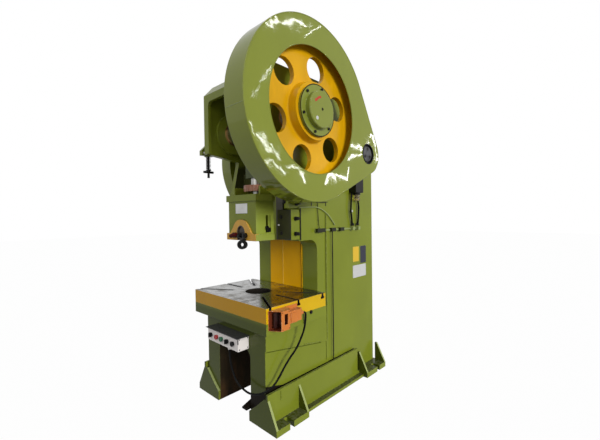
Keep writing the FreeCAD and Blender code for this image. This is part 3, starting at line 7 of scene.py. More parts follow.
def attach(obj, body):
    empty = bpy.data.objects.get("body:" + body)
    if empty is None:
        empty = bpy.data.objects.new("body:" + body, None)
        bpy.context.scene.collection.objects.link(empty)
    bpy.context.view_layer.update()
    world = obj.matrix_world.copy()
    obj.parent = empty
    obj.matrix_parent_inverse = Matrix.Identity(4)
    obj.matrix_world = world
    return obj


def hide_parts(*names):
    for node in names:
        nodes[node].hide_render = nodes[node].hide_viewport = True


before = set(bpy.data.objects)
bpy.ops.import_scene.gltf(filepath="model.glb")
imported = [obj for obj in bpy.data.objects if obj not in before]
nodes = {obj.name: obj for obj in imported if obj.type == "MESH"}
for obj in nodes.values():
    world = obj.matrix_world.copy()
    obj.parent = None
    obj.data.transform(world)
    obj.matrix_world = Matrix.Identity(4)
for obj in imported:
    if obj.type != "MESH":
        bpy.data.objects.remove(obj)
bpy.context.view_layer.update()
scene = bpy.context.scene
print("press frame loaded:", len(nodes), "parts")

ramAxis = (-0.058, -0.4825)  # where the ram's axis meets the floor, in metres
crankHeight = 2409  # millimetres above the floor


def at(x, y, z):
    # millimetres from the ram's axis and the floor, as metres in the press's own frame
    return Vector((x / 1000 + ramAxis[0], y / 1000 + ramAxis[1], z / 1000))


def wire(tree, source, target):
    tree.links.new(source, target)


def fill(tree, slot, value):
    # a wire from another node's socket, or a constant on this one
    if isinstance(value, bpy.types.NodeSocket):
        wire(tree, value, slot)
    elif slot.type == "RGBA":
        slot.default_value = (*value[:3], 1)
    else:
        slot.default_value = value


def addNode(tree, kind, settings=(), **values):
    # a new node's outputs: its own settings first, then its sockets by name
    node = tree.nodes.new(kind)
    for key, value in dict(settings).items():
        setattr(node, key, value)
    for key, value in values.items():
        fill(tree, node.inputs[key.replace("_", " ")], value)
    return node.outputs


def newGroup(name, inputs, outputs, kind="ShaderNodeTree"):
    tree = bpy.data.node_groups.new(name, kind)
    for label, socketKind, value in inputs:
        socket = tree.interface.new_socket(label, in_out="INPUT", socket_type="NodeSocket" + socketKind)
        if value is not None:
            socket.default_value = value
    for label, socketKind in outputs:
        tree.interface.new_socket(label, in_out="OUTPUT", socket_type="NodeSocket" + socketKind)
    return tree, tree.nodes.new("NodeGroupInput").outputs, tree.nodes.new("NodeGroupOutput").inputs


def placeGroup(tree, group, **values):
    return addNode(tree, "ShaderNodeGroup", {"node_tree": group}, **values)


def maths(tree, operation, first, second=None, clamp=False):
    node = tree.nodes.new("ShaderNodeMath")
    node.operation, node.use_clamp = operation, clamp
    fill(tree, node.inputs[0], first)
    if second is not None:
        fill(tree, node.inputs[1], second)
    return node.outputs[0]


def remap(tree, value, low, high):
    # 0 at the low limit, 1 at the high one, smooth between
    return addNode(tree, "ShaderNodeMapRange", {"interpolation_type": "SMOOTHSTEP"}, Value=value, From_Min=low,
                   From_Max=high)["Result"]


def blendColour(tree, amount, first, second, mode="MIX"):
    node = tree.nodes.new("ShaderNodeMix")
    node.data_type, node.blend_type = "RGBA", mode
    for slot, value in zip(node.inputs[0:1] + node.inputs[6:8], (amount, first, second)):
        fill(tree, slot, value)
    return node.outputs[2]


def mixNumbers(tree, amount, first, second):
    node = tree.nodes.new("ShaderNodeMix")
    for slot, value in zip(node.inputs[0:1] + node.inputs[2:4], (amount, first, second)):
        fill(tree, slot, value)
    return node.outputs[0]


def noise(tree, vector, scale, detail=3, roughness=0.55, stretch=None):
    if stretch:
        vector = addNode(tree, "ShaderNodeMapping", Scale=stretch, Vector=vector)["Vector"]
    return addNode(tree, "ShaderNodeTexNoise", Vector=vector, Scale=scale, Detail=detail, Roughness=roughness)["Fac"]


def times(tree, *values):
    # masks and numbers multiplied together
    product = values[0]
    for value in values[1:]:
        product = maths(tree, "MULTIPLY", product, value)
    return product


def apartFrom(tree, value, middle):
    return maths(tree, "ABSOLUTE", maths(tree, "SUBTRACT", value, middle))


def squares(tree, first, second):
    return maths(tree, "ADD", times(tree, first, first), times(tree, second, second))


def shaded(tree, colour, shade):
    return blendColour(tree, 1.0, colour, shade, "MULTIPLY")


def parts(tree, vector):
    return addNode(tree, "ShaderNodeSeparateXYZ", Vector=vector)


def objectPlace(tree):
    return addNode(tree, "ShaderNodeTexCoord")["Object"]


def trueNormal(tree):
    return addNode(tree, "ShaderNodeNewGeometry")["True Normal"]


layerOutputs = [("Colour", "Color"), ("Roughness", "Float"), ("Normal", "Vector")]
edgeLook = {"width": 0.003, "samples": 4, "flat": 0.995, "sharp": 0.8}
paintLook = {
    "dark": (0.62, 0.62, 0.60), "light": (1.25, 1.22, 1.2), "soot": (0.30, 0.32, 0.30), "dust": (0.42, 0.40, 0.34),
    "upward": (0.4, 0.95), "sootFront": (-0.5, -0.9), "sootHeight": (0.90, 0.80), "sweptHeight": (0.30, 0.24),
    "driftFrom": (0.35, 0.7), "smearFrom": (0.5, 0.75), "dustFrom": (0.3, 0.7), "chipFrom": (0.46, 0.62),
    "dustRough": 0.5, "peelDepth": 0.0006, "chipDepth": 0.8, "buckleDepth": 0.05, "coarse": 2.0, "ripple": 0.25,
    # noises: scale, detail and roughness
    "broad": (2.2, 2), "speck": (42, 4), "smear": (9, 5, 0.65), "run": (1.0, 1.0, 0.25), "peel": (160, 2),
    "peelCoarse": (14, 2), "buckle": (3.0, 1, 0.4), "buckleFine": (9.0, 1, 0.4),
}
metalLook = {
    "stain": (0.5, 0.45, 0.38), "bright": (1.5, 1.5, 1.5), "stainFrom": (0.48, 0.75), "edgeBright": 0.6,
    "stainRough": 0.3, "markRough": 0.12, "markDepth": 0.0004, "mark": (2, 0.5), "along": (1.0, 0.03, 1.0),
    "patches": (7, 5, 0.6),
}


def buildEdgeGroup():
    # a rounded edge's normal, and a mask that is 1 on the edge
    tree, inside, outside = newGroup("worked edges", [("Width", "Float", edgeLook["width"])],
                                     [("Normal", "Vector"), ("Edge", "Float")])
    bevel = addNode(tree, "ShaderNodeBevel", {"samples": edgeLook["samples"]}, Radius=inside["Width"])[0]
    dot = tree.nodes.new("ShaderNodeVectorMath")
    dot.operation = "DOT_PRODUCT"
    wire(tree, bevel, dot.inputs[0])
    wire(tree, trueNormal(tree), dot.inputs[1])
    wire(tree, remap(tree, dot.outputs["Value"], edgeLook["flat"], edgeLook["sharp"]), outside["Edge"])
    wire(tree, bevel, outside["Normal"])
    return tree


def buildPaintGroup():
    # enamel on steel: colour drift, orange peel, dust on what faces up, painted shade low down, tinted edges
    look = paintLook
    inputs = [("Colour", "Color", None), ("Worn Colour", "Color", None), ("Edge", "Float", 0),
              ("Normal", "Vector", None), ("Peel", "Float", 0.25), ("Drift", "Float", 0.15), ("Dust", "Float", 0.2),
              ("Wear", "Float", 0.4), ("Wave", "Float", 0.0), ("Grime", "Float", 0.0),
              ("Base Roughness", "Float", 0.16)]
    tree, given, outside = newGroup("shop enamel", inputs, layerOutputs)
    where = objectPlace(tree)
    facing, height = parts(tree, trueNormal(tree)), parts(tree, where)["Z"]
    facingUp = remap(tree, facing["Z"], *look["upward"])
    speck = noise(tree, where, *look["speck"])
    smear = noise(tree, where, *look["smear"], stretch=look["run"])
    drift = times(tree, remap(tree, noise(tree, where, *look["broad"]), *look["driftFrom"]), given["Drift"])
    colour = blendColour(tree, drift, given["Colour"], shaded(tree, given["Colour"], look["dark"]))
    smeared = times(tree, remap(tree, smear, *look["smearFrom"]), given["Drift"])
    colour = blendColour(tree, smeared, colour, shaded(tree, colour, look["light"]))
    # painted shade: front faces low on the press, and upturned faces near the floor, made darker where shade falls
    sooty = times(tree, remap(tree, facing["Y"], *look["sootFront"]), remap(tree, height, *look["sootHeight"]))
    swept = times(tree, facingUp, remap(tree, height, *look["sweptHeight"]))
    grime = times(tree, maths(tree, "MAXIMUM", sooty, swept), given["Grime"])
    colour = blendColour(tree, grime, colour, shaded(tree, colour, look["soot"]))
    dust = times(tree, facingUp, remap(tree, speck, *look["dustFrom"]), given["Dust"])
    colour = blendColour(tree, dust, colour, look["dust"])
    # edge tint: worn paint, and where a paint is given a pale tint, a painted highlight along its edges
    chips = times(tree, given["Edge"], remap(tree, speck, *look["chipFrom"]))
    chips = maths(tree, "MULTIPLY", chips, given["Wear"], clamp=True)
    wire(tree, blendColour(tree, chips, colour, given["Worn Colour"]), outside["Colour"])
    rough = times(tree, given["Base Roughness"], maths(tree, "ADD", smear, 1.0))
    rough = maths(tree, "ADD", rough, times(tree, dust, look["dustRough"]), clamp=True)
    wire(tree, rough, outside["Roughness"])
    coarse = times(tree, noise(tree, where, *look["peelCoarse"]), look["coarse"])
    peel = maths(tree, "ADD", noise(tree, where, *look["peel"]), coarse)
    peel = maths(tree, "SUBTRACT", peel, times(tree, chips, look["chipDepth"]))
    peeled = addNode(tree, "ShaderNodeBump", Distance=look["peelDepth"], Strength=given["Peel"], Height=peel,
                     Normal=given["Normal"])[0]
    # thin sheet never lies quite flat
    ripple = times(tree, noise(tree, where, *look["buckleFine"]), look["ripple"])
    buckle = maths(tree, "ADD", noise(tree, where, *look["buckle"]), ripple)
    waved = addNode(tree, "ShaderNodeBump", Distance=look["buckleDepth"], Strength=given["Wave"], Height=buckle,
                    Normal=peeled)[0]
    wire(tree, waved, outside["Normal"])
    return tree


def buildMetalGroup():
    # turned or ground steel: fine tool marks along one way, stains, brighter edges
    look = metalLook
    inputs = [("Colour", "Color", None), ("Edge", "Float", 0), ("Normal", "Vector", None), ("Marks", "Float", 0.25),
              ("Mark Scale", "Float", 260), ("Stain", "Float", 0.3), ("Base Roughness", "Float", 0.25)]
    tree, given, outside = newGroup("worked metal", inputs, layerOutputs)
    where = objectPlace(tree)
    marks = noise(tree, where, given["Mark Scale"], *look["mark"], stretch=look["along"])
    stained = times(tree, remap(tree, noise(tree, where, *look["patches"]), *look["stainFrom"]), given["Stain"])
    colour = blendColour(tree, stained, given["Colour"], shaded(tree, given["Colour"], look["stain"]))
    bright = times(tree, given["Edge"], look["edgeBright"])
    wire(tree, blendColour(tree, bright, colour, shaded(tree, colour, look["bright"])), outside["Colour"])
    rough = maths(tree, "ADD", given["Base Roughness"], times(tree, stained, look["stainRough"]))
    rough = maths(tree, "ADD", rough, times(tree, marks, look["markRough"]), clamp=True)
    wire(tree, rough, outside["Roughness"])
    marked = addNode(tree, "ShaderNodeBump", Distance=look["markDepth"], Strength=given["Marks"], Height=marks,
                     Normal=given["Normal"])[0]
    wire(tree, marked, outside["Normal"])
    return tree


edgeGroup, paintGroup, metalGroup = buildEdgeGroup(), buildPaintGroup(), buildMetalGroup()


def startMaterial(name):
    material = bpy.data.materials.new(name)
    material.use_nodes = True
    tree = material.node_tree
    return material, tree, tree.nodes["Principled BSDF"]


enamelUsual = dict(worn=(0.12, 0.12, 0.11), edgeWidth=0.004, coat=0.15, peel=0.25, drift=0.15, dust=0.2, wear=0.4,
                   gloss=0.2, wave=0.0, grime=0.0, rough=0.16, coatRough=0.06)
castingUsual = {**enamelUsual, "peel": 0.3, "drift": 0.3, "coatRough": 0.03}


def dress(tree, surface, layer):
    for label, target in (("Colour", "Base Color"), ("Roughness", "Roughness"), ("Normal", "Normal")):
        wire(tree, layer[label], surface[target])


def startEnamel(name, values):
    material, tree, shader = startMaterial(name)
    surface = shader.inputs
    edge = placeGroup(tree, edgeGroup, Width=values["edgeWidth"])
    paint = placeGroup(tree, paintGroup, Colour=values["colour"], Worn_Colour=values["worn"], Edge=edge["Edge"],
                       Normal=edge["Normal"], Peel=values["peel"], Drift=values["drift"], Dust=values["dust"],
                       Wear=values["wear"], Wave=values["wave"], Grime=values["grime"],
                       Base_Roughness=values["rough"])
    dress(tree, surface, paint)
    for label, key in (("Specular IOR Level", "gloss"), ("Coat Weight", "coat"), ("Coat Roughness", "coatRough")):
        surface[label].default_value = values[key]
    return material, tree, surface, edge, paint


def enamel(name, **values):
    return startEnamel(name, {**enamelUsual, **values})[0]


def metal(name, colour, roughness=0.25, edgeWidth=0.002, marks=0.25, markScale=260, stain=0.3, metallic=1.0):
    material, tree, shader = startMaterial(name)
    edge = placeGroup(tree, edgeGroup, Width=edgeWidth)
    worked = placeGroup(tree, metalGroup, Colour=colour, Edge=edge["Edge"], Normal=edge["Normal"], Marks=marks,
                        Mark_Scale=markScale, Stain=stain, Base_Roughness=roughness)
    dress(tree, shader.inputs, worked)
    shader.inputs["Metallic"].default_value = metallic
    return material


paints = {
    # pressGreen's pale edge tint is a painted highlight, and its darkening of low front faces and feet is painted
    # shade
    "pressGreen": dict(colour=(0.215, 0.255, 0.020), worn=(0.42, 0.48, 0.15), wear=0.8, edgeWidth=0.005, drift=0.2,
                       grime=0.85),
    # a darker copy of the press green: painted shade on the connecting rod and its cap
    "rodGreen": dict(colour=(0.07, 0.09, 0.02), drift=0.4, dust=0.1),
    "guardGreen": dict(colour=(0.225, 0.262, 0.018), coat=0.0, gloss=0.5, rough=0.03, dust=0.05, peel=0.0,
                       wave=0.075),
    # hubGreen's pale edge tint is a painted highlight on the hub's rims
    "hubGreen": dict(colour=(0.235, 0.27, 0.035), worn=(0.55, 0.60, 0.42), wear=1.0, edgeWidth=0.007, coat=0.4,
                     drift=0.2, dust=0.1),
    # a lighter copy of the press green with a pale edge tint: painted light for the ram's side plates
    "footGreen": dict(colour=(0.32, 0.38, 0.06), worn=(0.50, 0.55, 0.25), wear=0.8, edgeWidth=0.005, drift=0.2),
    # a lighter copy of the panel yellow: painted highlight along the panel's fold
    "foldYellow": dict(colour=(1.0, 0.66, 0.10), coat=0.0, gloss=0.1, drift=0.2, dust=0.0, wear=0.1),
    "paleGreen": dict(colour=(0.34, 0.40, 0.14), drift=0.2, dust=0.2),
    "pressYellow": dict(colour=(0.70, 0.38, 0.05), coat=0.3, drift=0.25, dust=0.15),
    "panelYellow": dict(colour=(1.0, 0.50, 0.003), coat=0.0, gloss=0.1, drift=0.2, dust=0.1, worn=(0.6, 0.4, 0.2)),
    # a darker copy of the press green: painted shade along the bed's edges
    "seamGreen": dict(colour=(0.085, 0.11, 0.008), drift=0.4, dust=0.0, wear=0.2, gloss=0.1, coat=0.0),
    "markRed": dict(colour=(0.55, 0.05, 0.02), coat=0.2, drift=0.2, dust=0.05, wear=0.3),
    "wheelYellow": dict(colour=(0.72, 0.34, 0.006), coat=0.4, drift=0.45, dust=0.0, peel=0.3),
    # ringCopper: its pale edge tint is worn paint and also a painted highlight
    "ringCopper": dict(colour=(0.50, 0.24, 0.16), coat=0.1, drift=0.9, wear=0.9, worn=(0.75, 0.60, 0.52)),
    "leverRed": dict(colour=(0.07, 0.006, 0.006), coat=0.0, gloss=0.12, rough=0.4, dust=0.0),
    # a dark maroon on the steel treadle: painted reflection of the orange hood, and painted shade inside it
    "treadleBrown": dict(colour=(0.040, 0.014, 0.012), coat=0.0, gloss=0.15, dust=0.05),
    "boxGrey": dict(colour=(0.90, 0.84, 0.80), peel=0.15, drift=0.15, dust=0.1),
    "lidGrey": dict(colour=(0.055, 0.055, 0.055), coat=0.1, peel=0.3, drift=0.1, dust=0.0, worn=(0.3, 0.3, 0.3)),
    "hoseBlack": dict(colour=(0.006, 0.006, 0.006), coat=0.0, gloss=0.06, peel=0.3, drift=0.2, dust=0.05, wear=0.1),
    "knobBlack": dict(colour=(0.008, 0.008, 0.008), coat=0.1, gloss=0.1, peel=0.1, dust=0.0, wear=0.1),
    "shadowBrown": dict(colour=(0.016, 0.012, 0.009), coat=0.0, gloss=0.05, drift=0.3, dust=0.0, wear=0.2),
    "capRed": dict(colour=(0.42, 0.012, 0.015), coat=0.6, peel=0.05, dust=0.05, wear=0.05),
    "capGreen": dict(colour=(0.008, 0.13, 0.05), coat=0.6, peel=0.05, dust=0.05, wear=0.05),
    "plateWhite": dict(colour=(0.62, 0.62, 0.60), coat=0.3, peel=0.05, dust=0.1, wear=0.2),
    "plateYellow": dict(colour=(0.78, 0.50, 0.03), coat=0.3, peel=0.05, dust=0.1, wear=0.2),
    "plateDark": dict(colour=(0.03, 0.032, 0.05), coat=0.3, peel=0.05, dust=0.1, wear=0.2),
}
metals = {
    "machinedSteel": dict(colour=(0.52, 0.51, 0.48), roughness=0.22),
    "darkSteel": dict(colour=(0.028, 0.027, 0.026), roughness=0.36, stain=0.2, metallic=0.8),
    "bearingBronze": dict(colour=(0.55, 0.33, 0.12), roughness=0.3),
    "dullSteel": dict(colour=(0.13, 0.13, 0.135), roughness=0.38, stain=0.8),
    "plateAluminium": dict(colour=(0.66, 0.66, 0.64), roughness=0.32, markScale=420),
}
finish = {name: enamel(name, **values) for name, values in paints.items()}
finish.update({name: metal(name, **values) for name, values in metals.items()})

# where a mask starts and where it is full: metres from the ram's axis and the floor, or parts of a normal
limits = {
    "bolsterTop": (0.9535, 0.9545), "bolsterSide": (0.4992, 0.4998), "bolsterEnd": (0.3392, 0.3398),
    "bolsterFront": (-0.3392, -0.3398), "oilAcross": (-0.02, 0.10), "oilDeep": (-0.30, -0.12),
    "slotSide": (0.490, 0.486), "slotEnd": (0.330, 0.326),
    "archSide": (0.2186, 0.2182), "archTop": (0.82, 0.80), "archFront": (-0.2696, -0.2690),
    "headSide": (0.3506, 0.3502), "headFront": (-0.02, 0.0), "headBack": (0.95, 0.90), "headTall": (0.20, 0.13),
    "slantLeast": (0.30, 0.36), "slantMost": (0.93, 0.88), "feetTop": (0.30, 0.29),
    "gibFront": (-0.5, -0.7), "slideWay": (0.2095, 0.2115), "slideSide": (0.5, 0.7), "gearTeeth": (0.616, 0.620),
    "mouthFront": (-0.3212, -0.3206), "mouthBack": (-0.168, -0.171), "mouthRight": (0.5851, 0.5849),
    "mouthTall": (0.0712, 0.0708),
    "capDeep": (-0.1845, -0.1825), "capNear": (0.0475, 0.0465), "capRound": (1.06, 0.94),
    "capFace": (-0.1840, -0.1848),
    "blockRight": (0.4125, 0.4135), "blockBack": (0.76, 0.75), "bandStrip": (-0.190, -0.188),
}


def zone(tree, **values):
    # one mask from several coordinates, each between its own limits
    return times(tree, *(remap(tree, value, *limits[name]) for name, value in values.items()))


def fromRam(tree):
    x, y, z = parts(tree, objectPlace(tree))
    return maths(tree, "SUBTRACT", x, ramAxis[0]), maths(tree, "SUBTRACT", y, ramAxis[1]), z


green = dict(colour=paints["pressGreen"]["colour"])
bolsterLook = {
    "paint": dict(colour=(0.74, 0.46, 0.004), worn=(0.2, 0.15, 0.1), dust=0.1),
    "steel": dict(Colour=(0.50, 0.50, 0.49), Marks=0.15, Mark_Scale=220, Stain=1.0, Base_Roughness=0.13),
    "hole": (0.02, 0.017, 0.014), "frontOil": (0.46, 0.21, 0.006), "frontOiled": 0.75, "pool": (0.16, 0.14, 0.11),
    "pooled": 0.45, "poolFrom": (0.45, 0.65), "poolRough": 0.12, "oil": (0.070, 0.054, 0.046), "oiled": 0.80,
    "slot": (0.02, 0.018, 0.015), "slotWidth": 0.05, "pools": (11, 4, 0.7),
}


def bolsterFinish():
    # a casting with painted sides, its top ground bright and oiled, its hole and slots left dark
    look = bolsterLook
    material, tree, surface, edge, paint = startEnamel("bolsterCasting", {**castingUsual, **look["paint"]})
    steel = placeGroup(tree, metalGroup, Edge=edge["Edge"], Normal=edge["Normal"], **look["steel"])
    x, y, z = fromRam(tree)
    across, deep = maths(tree, "ABSOLUTE", x), maths(tree, "ABSOLUTE", y)
    top = zone(tree, bolsterTop=z)
    painted = maths(tree, "MAXIMUM", zone(tree, bolsterSide=across), zone(tree, bolsterEnd=deep))
    # painted shade: the front face blended toward a deeper orange
    front = times(tree, zone(tree, bolsterFront=y), look["frontOiled"])
    inner = blendColour(tree, painted, look["hole"], blendColour(tree, front, paint["Colour"], look["frontOil"]))
    pools = remap(tree, noise(tree, objectPlace(tree), *look["pools"]), *look["poolFrom"])
    ground = blendColour(tree, times(tree, pools, look["pooled"]), steel["Colour"], look["pool"])
    oil = times(tree, zone(tree, oilAcross=x, oilDeep=y), look["oiled"])
    ground = blendColour(tree, oil, ground, look["oil"])
    slotEdge = placeGroup(tree, edgeGroup, Width=look["slotWidth"])["Edge"]
    slotEdge = times(tree, slotEdge, zone(tree, slotSide=across, slotEnd=deep))
    ground = blendColour(tree, slotEdge, ground, look["slot"])
    wire(tree, blendColour(tree, top, inner, ground), surface["Base Color"])
    topRough = maths(tree, "ADD", steel["Roughness"], times(tree, pools, look["poolRough"]))
    wire(tree, mixNumbers(tree, top, paint["Roughness"], topRough), surface["Roughness"])
    wire(tree, times(tree, top, maths(tree, "SUBTRACT", 1.0, slotEdge)), surface["Metallic"])
    wire(tree, steel["Normal"], surface["Normal"])
    return material


frameLook = {
    # a pale edge tint as painted highlight, and full painted shade on low front faces and the feet
    "paint": dict(**green, worn=(0.42, 0.48, 0.15), drift=0.2, wear=0.8, grime=1.0),
    "primerDark": (0.028, 0.020, 0.010), "primerPale": (0.11, 0.055, 0.022), "primerRough": 0.9,
    "primerFrom": (0.4, 0.7), "headHeight": 1.95, "grease": (0.030, 0.030, 0.016), "greased": 0.85,
    "rubbed": (0.42, 0.48, 0.18), "rubbing": 0.8, "runs": (5, 4, 0.6), "upright": (1.0, 1.0, 0.3),
}


def frameFinish():
    # the press green, bare brown primer inside the arch between the columns, painted shade inside the head,
    # and a painted highlight on the feet's slanted faces
    look = frameLook
    material, tree, surface, edge, paint = startEnamel("frameSteel", {**castingUsual, **look["paint"]})
    x, y, z = fromRam(tree)
    across = maths(tree, "ABSOLUTE", x)
    arch = zone(tree, archSide=across, archTop=z, archFront=y)
    run = noise(tree, objectPlace(tree), *look["runs"], stretch=look["upright"])
    primer = blendColour(tree, remap(tree, run, *look["primerFrom"]), look["primerDark"], look["primerPale"])
    # painted shade: the inside of the head darkened
    head = zone(tree, headSide=across, headFront=y, headBack=y, headTall=apartFrom(tree, z, look["headHeight"]))
    greased = blendColour(tree, times(tree, head, look["greased"]), paint["Colour"], look["grease"])
    up = parts(tree, trueNormal(tree))["Z"]
    # painted highlight: slanted faces low on the feet made paler
    slant = times(tree, zone(tree, slantLeast=up, slantMost=up, feetTop=z), look["rubbing"])
    rubbed = blendColour(tree, slant, greased, look["rubbed"])
    wire(tree, blendColour(tree, arch, rubbed, primer), surface["Base Color"])
    wire(tree, mixNumbers(tree, arch, paint["Roughness"], look["primerRough"]), surface["Roughness"])
    wire(tree, mixNumbers(tree, arch, castingUsual["coat"], 0.0), surface["Coat Weight"])
    return material


# side: a lighter green for the slide's faces across X, as painted light
slideLook = {"side": (0.30, 0.36, 0.05), "way": (0.045, 0.042, 0.030), "wayRough": 0.35, "wayMetal": 0.5}


def slideFinish():
    # green, with the faces across X painted lighter as painted light, and the V-ways left as ground and oiled steel
    look = slideLook
    material, tree, surface, edge, paint = startEnamel("slideCasting", {**castingUsual, **green})
    way = zone(tree, slideWay=maths(tree, "ABSOLUTE", fromRam(tree)[0]))
    side = zone(tree, slideSide=maths(tree, "ABSOLUTE", parts(tree, trueNormal(tree))["X"]))
    sides = blendColour(tree, side, paint["Colour"], look["side"])
    wire(tree, blendColour(tree, way, sides, look["way"]), surface["Base Color"])
    wire(tree, mixNumbers(tree, way, paint["Roughness"], look["wayRough"]), surface["Roughness"])
    wire(tree, times(tree, way, look["wayMetal"]), surface["Metallic"])
    return material


# painted shade: the gibs' front faces darkened
def gibFront(tree):
    return zone(tree, gibFront=parts(tree, trueNormal(tree))["Y"])


# painted shade: the inside of the pedal hood's mouth darkened to a red-brown
def hoodMouth(tree):
    x, y, z = fromRam(tree)
    return zone(tree, mouthFront=y, mouthBack=y, mouthRight=x, mouthTall=apartFrom(tree, z, heights["mouth"]))


def gearTeeth(tree):
    x, y, z = fromRam(tree)
    up = maths(tree, "SUBTRACT", z, heights["crank"])
    return zone(tree, gearTeeth=maths(tree, "SQRT", squares(tree, y, up)))


def capHollow(tree):
    # the recess behind the shank's hole, and the ring round it on the face
    x, y, z = fromRam(tree)
    wide = maths(tree, "DIVIDE", x, capOval["wide"])
    tall = maths(tree, "DIVIDE", maths(tree, "SUBTRACT", z, heights["cap"]), capOval["tall"])
    hollow = zone(tree, capDeep=y, capNear=maths(tree, "ABSOLUTE", x))
    return maths(tree, "MAXIMUM", hollow, zone(tree, capRound=squares(tree, wide, tall), capFace=y))


def valveBlocks(tree):
    x, y, z = fromRam(tree)
    return zone(tree, blockRight=x, blockBack=y)


def bandStrip(tree):
    return zone(tree, bandStrip=fromRam(tree)[1])


heights = {"mouth": 0.8625, "crank": crankHeight / 1000, "cap": 1.475}
capOval = {"wide": 0.060, "tall": 0.075}
patched = {  # painted pieces with one bare or oily patch: where it lies, and its colour, roughness and metal
    "hoodCasting": (dict(colour=(0.68, 0.21, 0.04), worn=(0.95, 0.60, 0.32), wear=1.0, coat=0.1),
                    hoodMouth, (0.15, 0.030, 0.012)),
    "gibSteel": (green, gibFront, (0.035, 0.035, 0.018)),
    "gearCasting": (dict(colour=(0.80, 0.42, 0.004), worn=(0.25, 0.12, 0.03), drift=0.5, dust=0.0, wear=0.3,
                         gloss=0.15, coat=0.08), gearTeeth, (0.09, 0.075, 0.055), 0.25, 0.9),
    "bandSteel": (green, bandStrip, (0.03, 0.028, 0.026)),
    "capCasting": (dict(colour=paints["pressYellow"]["colour"], coat=0.3), capHollow, (0.06, 0.045, 0.035)),
    "manifoldBar": (dict(colour=paints["paleGreen"]["colour"], drift=0.4), valveBlocks, (0.022, 0.024, 0.010)),
}


def patchedFinish(name, values, findPatch, colour, rough=None, metallic=None):
    material, tree, surface, edge, paint = startEnamel(name, {**castingUsual, **values})
    patch = findPatch(tree)
    wire(tree, blendColour(tree, patch, paint["Colour"], colour), surface["Base Color"])
    if rough is not None:
        wire(tree, mixNumbers(tree, patch, paint["Roughness"], rough), surface["Roughness"])
    if metallic is not None:
        wire(tree, times(tree, patch, metallic), surface["Metallic"])
    return material


bowlLook = {"tint": (0.85, 0.72, 0.35, 1), "rough": 0.08, "clear": 0.9, "bend": 1.45, "ripple": 0.0005,
            "ripples": (60, 2)}


def bowlFinish():
    look = bowlLook
    material, tree, shader = startMaterial("oilBowl")
    for label, key in (("Base Color", "tint"), ("Roughness", "rough"), ("Transmission Weight", "clear"),
                       ("IOR", "bend")):
        shader.inputs[label].default_value = look[key]
    ripples = noise(tree, objectPlace(tree), *look["ripples"])
    wire(tree, addNode(tree, "ShaderNodeBump", Distance=look["ripple"], Height=ripples)[0], shader.inputs["Normal"])
    return material


finish.update({name: patchedFinish(name, *values) for name, values in patched.items()})
finish.update(bolsterCasting=bolsterFinish(), slideCasting=slideFinish(), frameSteel=frameFinish(),
              oilBowl=bowlFinish())
print("finishes ready:", len(finish))

partFinish = {
    "frameSteel": "frame base_rail_right base_rail_left",
    "gibSteel": "gibs",
    "pressGreen": "shaft_bearings cover_stays guard_stays motor motor_base brake_bracket brake_drum",
    "rodGreen": "connecting_rod rod_cap",
    "slideCasting": "slide",
    "guardGreen": "gear_cover flywheel_guard",
    "hubGreen": "hub_cover",
    "capCasting": "clamp_cap",
    "panelYellow": "throat_panel",
    "gearCasting": "bull_gear",
    "wheelYellow": "flywheel",
    "bolsterCasting": "bolster",
    "machinedSteel": "crankshaft adjusting_screw pinion_shaft motor_pulley brake_anchor pedal_pin",
    "darkSteel": "clamp_nuts brake_rod gib_screws clamp_screw knockout_bar rod_bolts hub_bolts brake_spring "
                 "lubricator oil_pipes",
    "bandSteel": "brake_band",
    "treadleBrown": "pedal_treadle",
    "manifoldBar": "oil_manifold",
    "bearingBronze": "ball_seat crank_bushes gear_bush",
    "ringCopper": "ratchet_ring",
    "boxGrey": "control_box cable_gland",
    "lidGrey": "control_lid",
    "hoodCasting": "pedal_housing",
    "hoseBlack": "v_belts oil_hoses control_cable foot_tray",
    "knobBlack": "selector_left selector_right black_button",
    "capRed": "red_button",
    "capGreen": "green_button",
    "oilBowl": "lubricator_bowl",
    "plateAluminium": "slide_nameplate",
}
for finishName, partNames in partFinish.items():
    for partName in partNames.split():
        for slot in nodes[partName].material_slots:
            slot.material = finish[finishName]
print("parts painted")

studio = {
    "keyStrength": 2.1, "keyAngle": 22, "keyAim": (-0.96, 0.08, -0.20), "fillStrength": 0.75, "fillAngle": 60,
    "fillAim": (-0.12, 0.82, -0.52), "worldStrength": 0.32, "worldColour": (0.93, 0.96, 1.0, 1), "roomSheen": 0.6,
    "floorSize": 60.0, "floorWhite": 0.985, "floorTone": 0.35, "floorRough": 0.9, "floorSheen": 0.4,
    "glintGlow": 44.0, "glintFar": 9.0, "sheenPlane": 711, "sheenHeight": 2300,
    "glints": (  # each lamp's two ends as its sheen lies on the gear cover, across and up, and its width in metres
        (-650, 2215, -590, 2120, 0.02), (-565, 2150, -470, 2030, 0.03), (-520, 2120, -450, 2030, 0.02),
        (-457, 2099, -377, 1989, 0.025), (-493, 1977, -330, 1915, 0.02), (-304, 1970, -174, 1955, 0.025),
        (-172, 1927, -157, 1868, 0.08), (165, 1865, 200, 1945, 0.04), (200, 1945, 330, 1907, 0.035),
        (340, 1905, 420, 2030, 0.05), (367, 2090, 624, 2154, 0.025), (445, 2243, 640, 2193, 0.03),
        (757, 2349, 840, 2100, 0.03), (-476, 2875, -360, 2940, 0.02), (-360, 2940, -99, 3010, 0.03),
        (-100, 2952, 64, 3066, 0.015), (-543, 2464, -462, 2595, 0.012), (-580, 2370, -550, 2450, 0.01)),
    "cameraPlace": at(2342, -1917, 1632), "yaw": 43.42, "pitch": -0.83, "roll": -0.72,
    "sensor": 36, "focalPixels": 334.43, "photoWidth": 600,
}


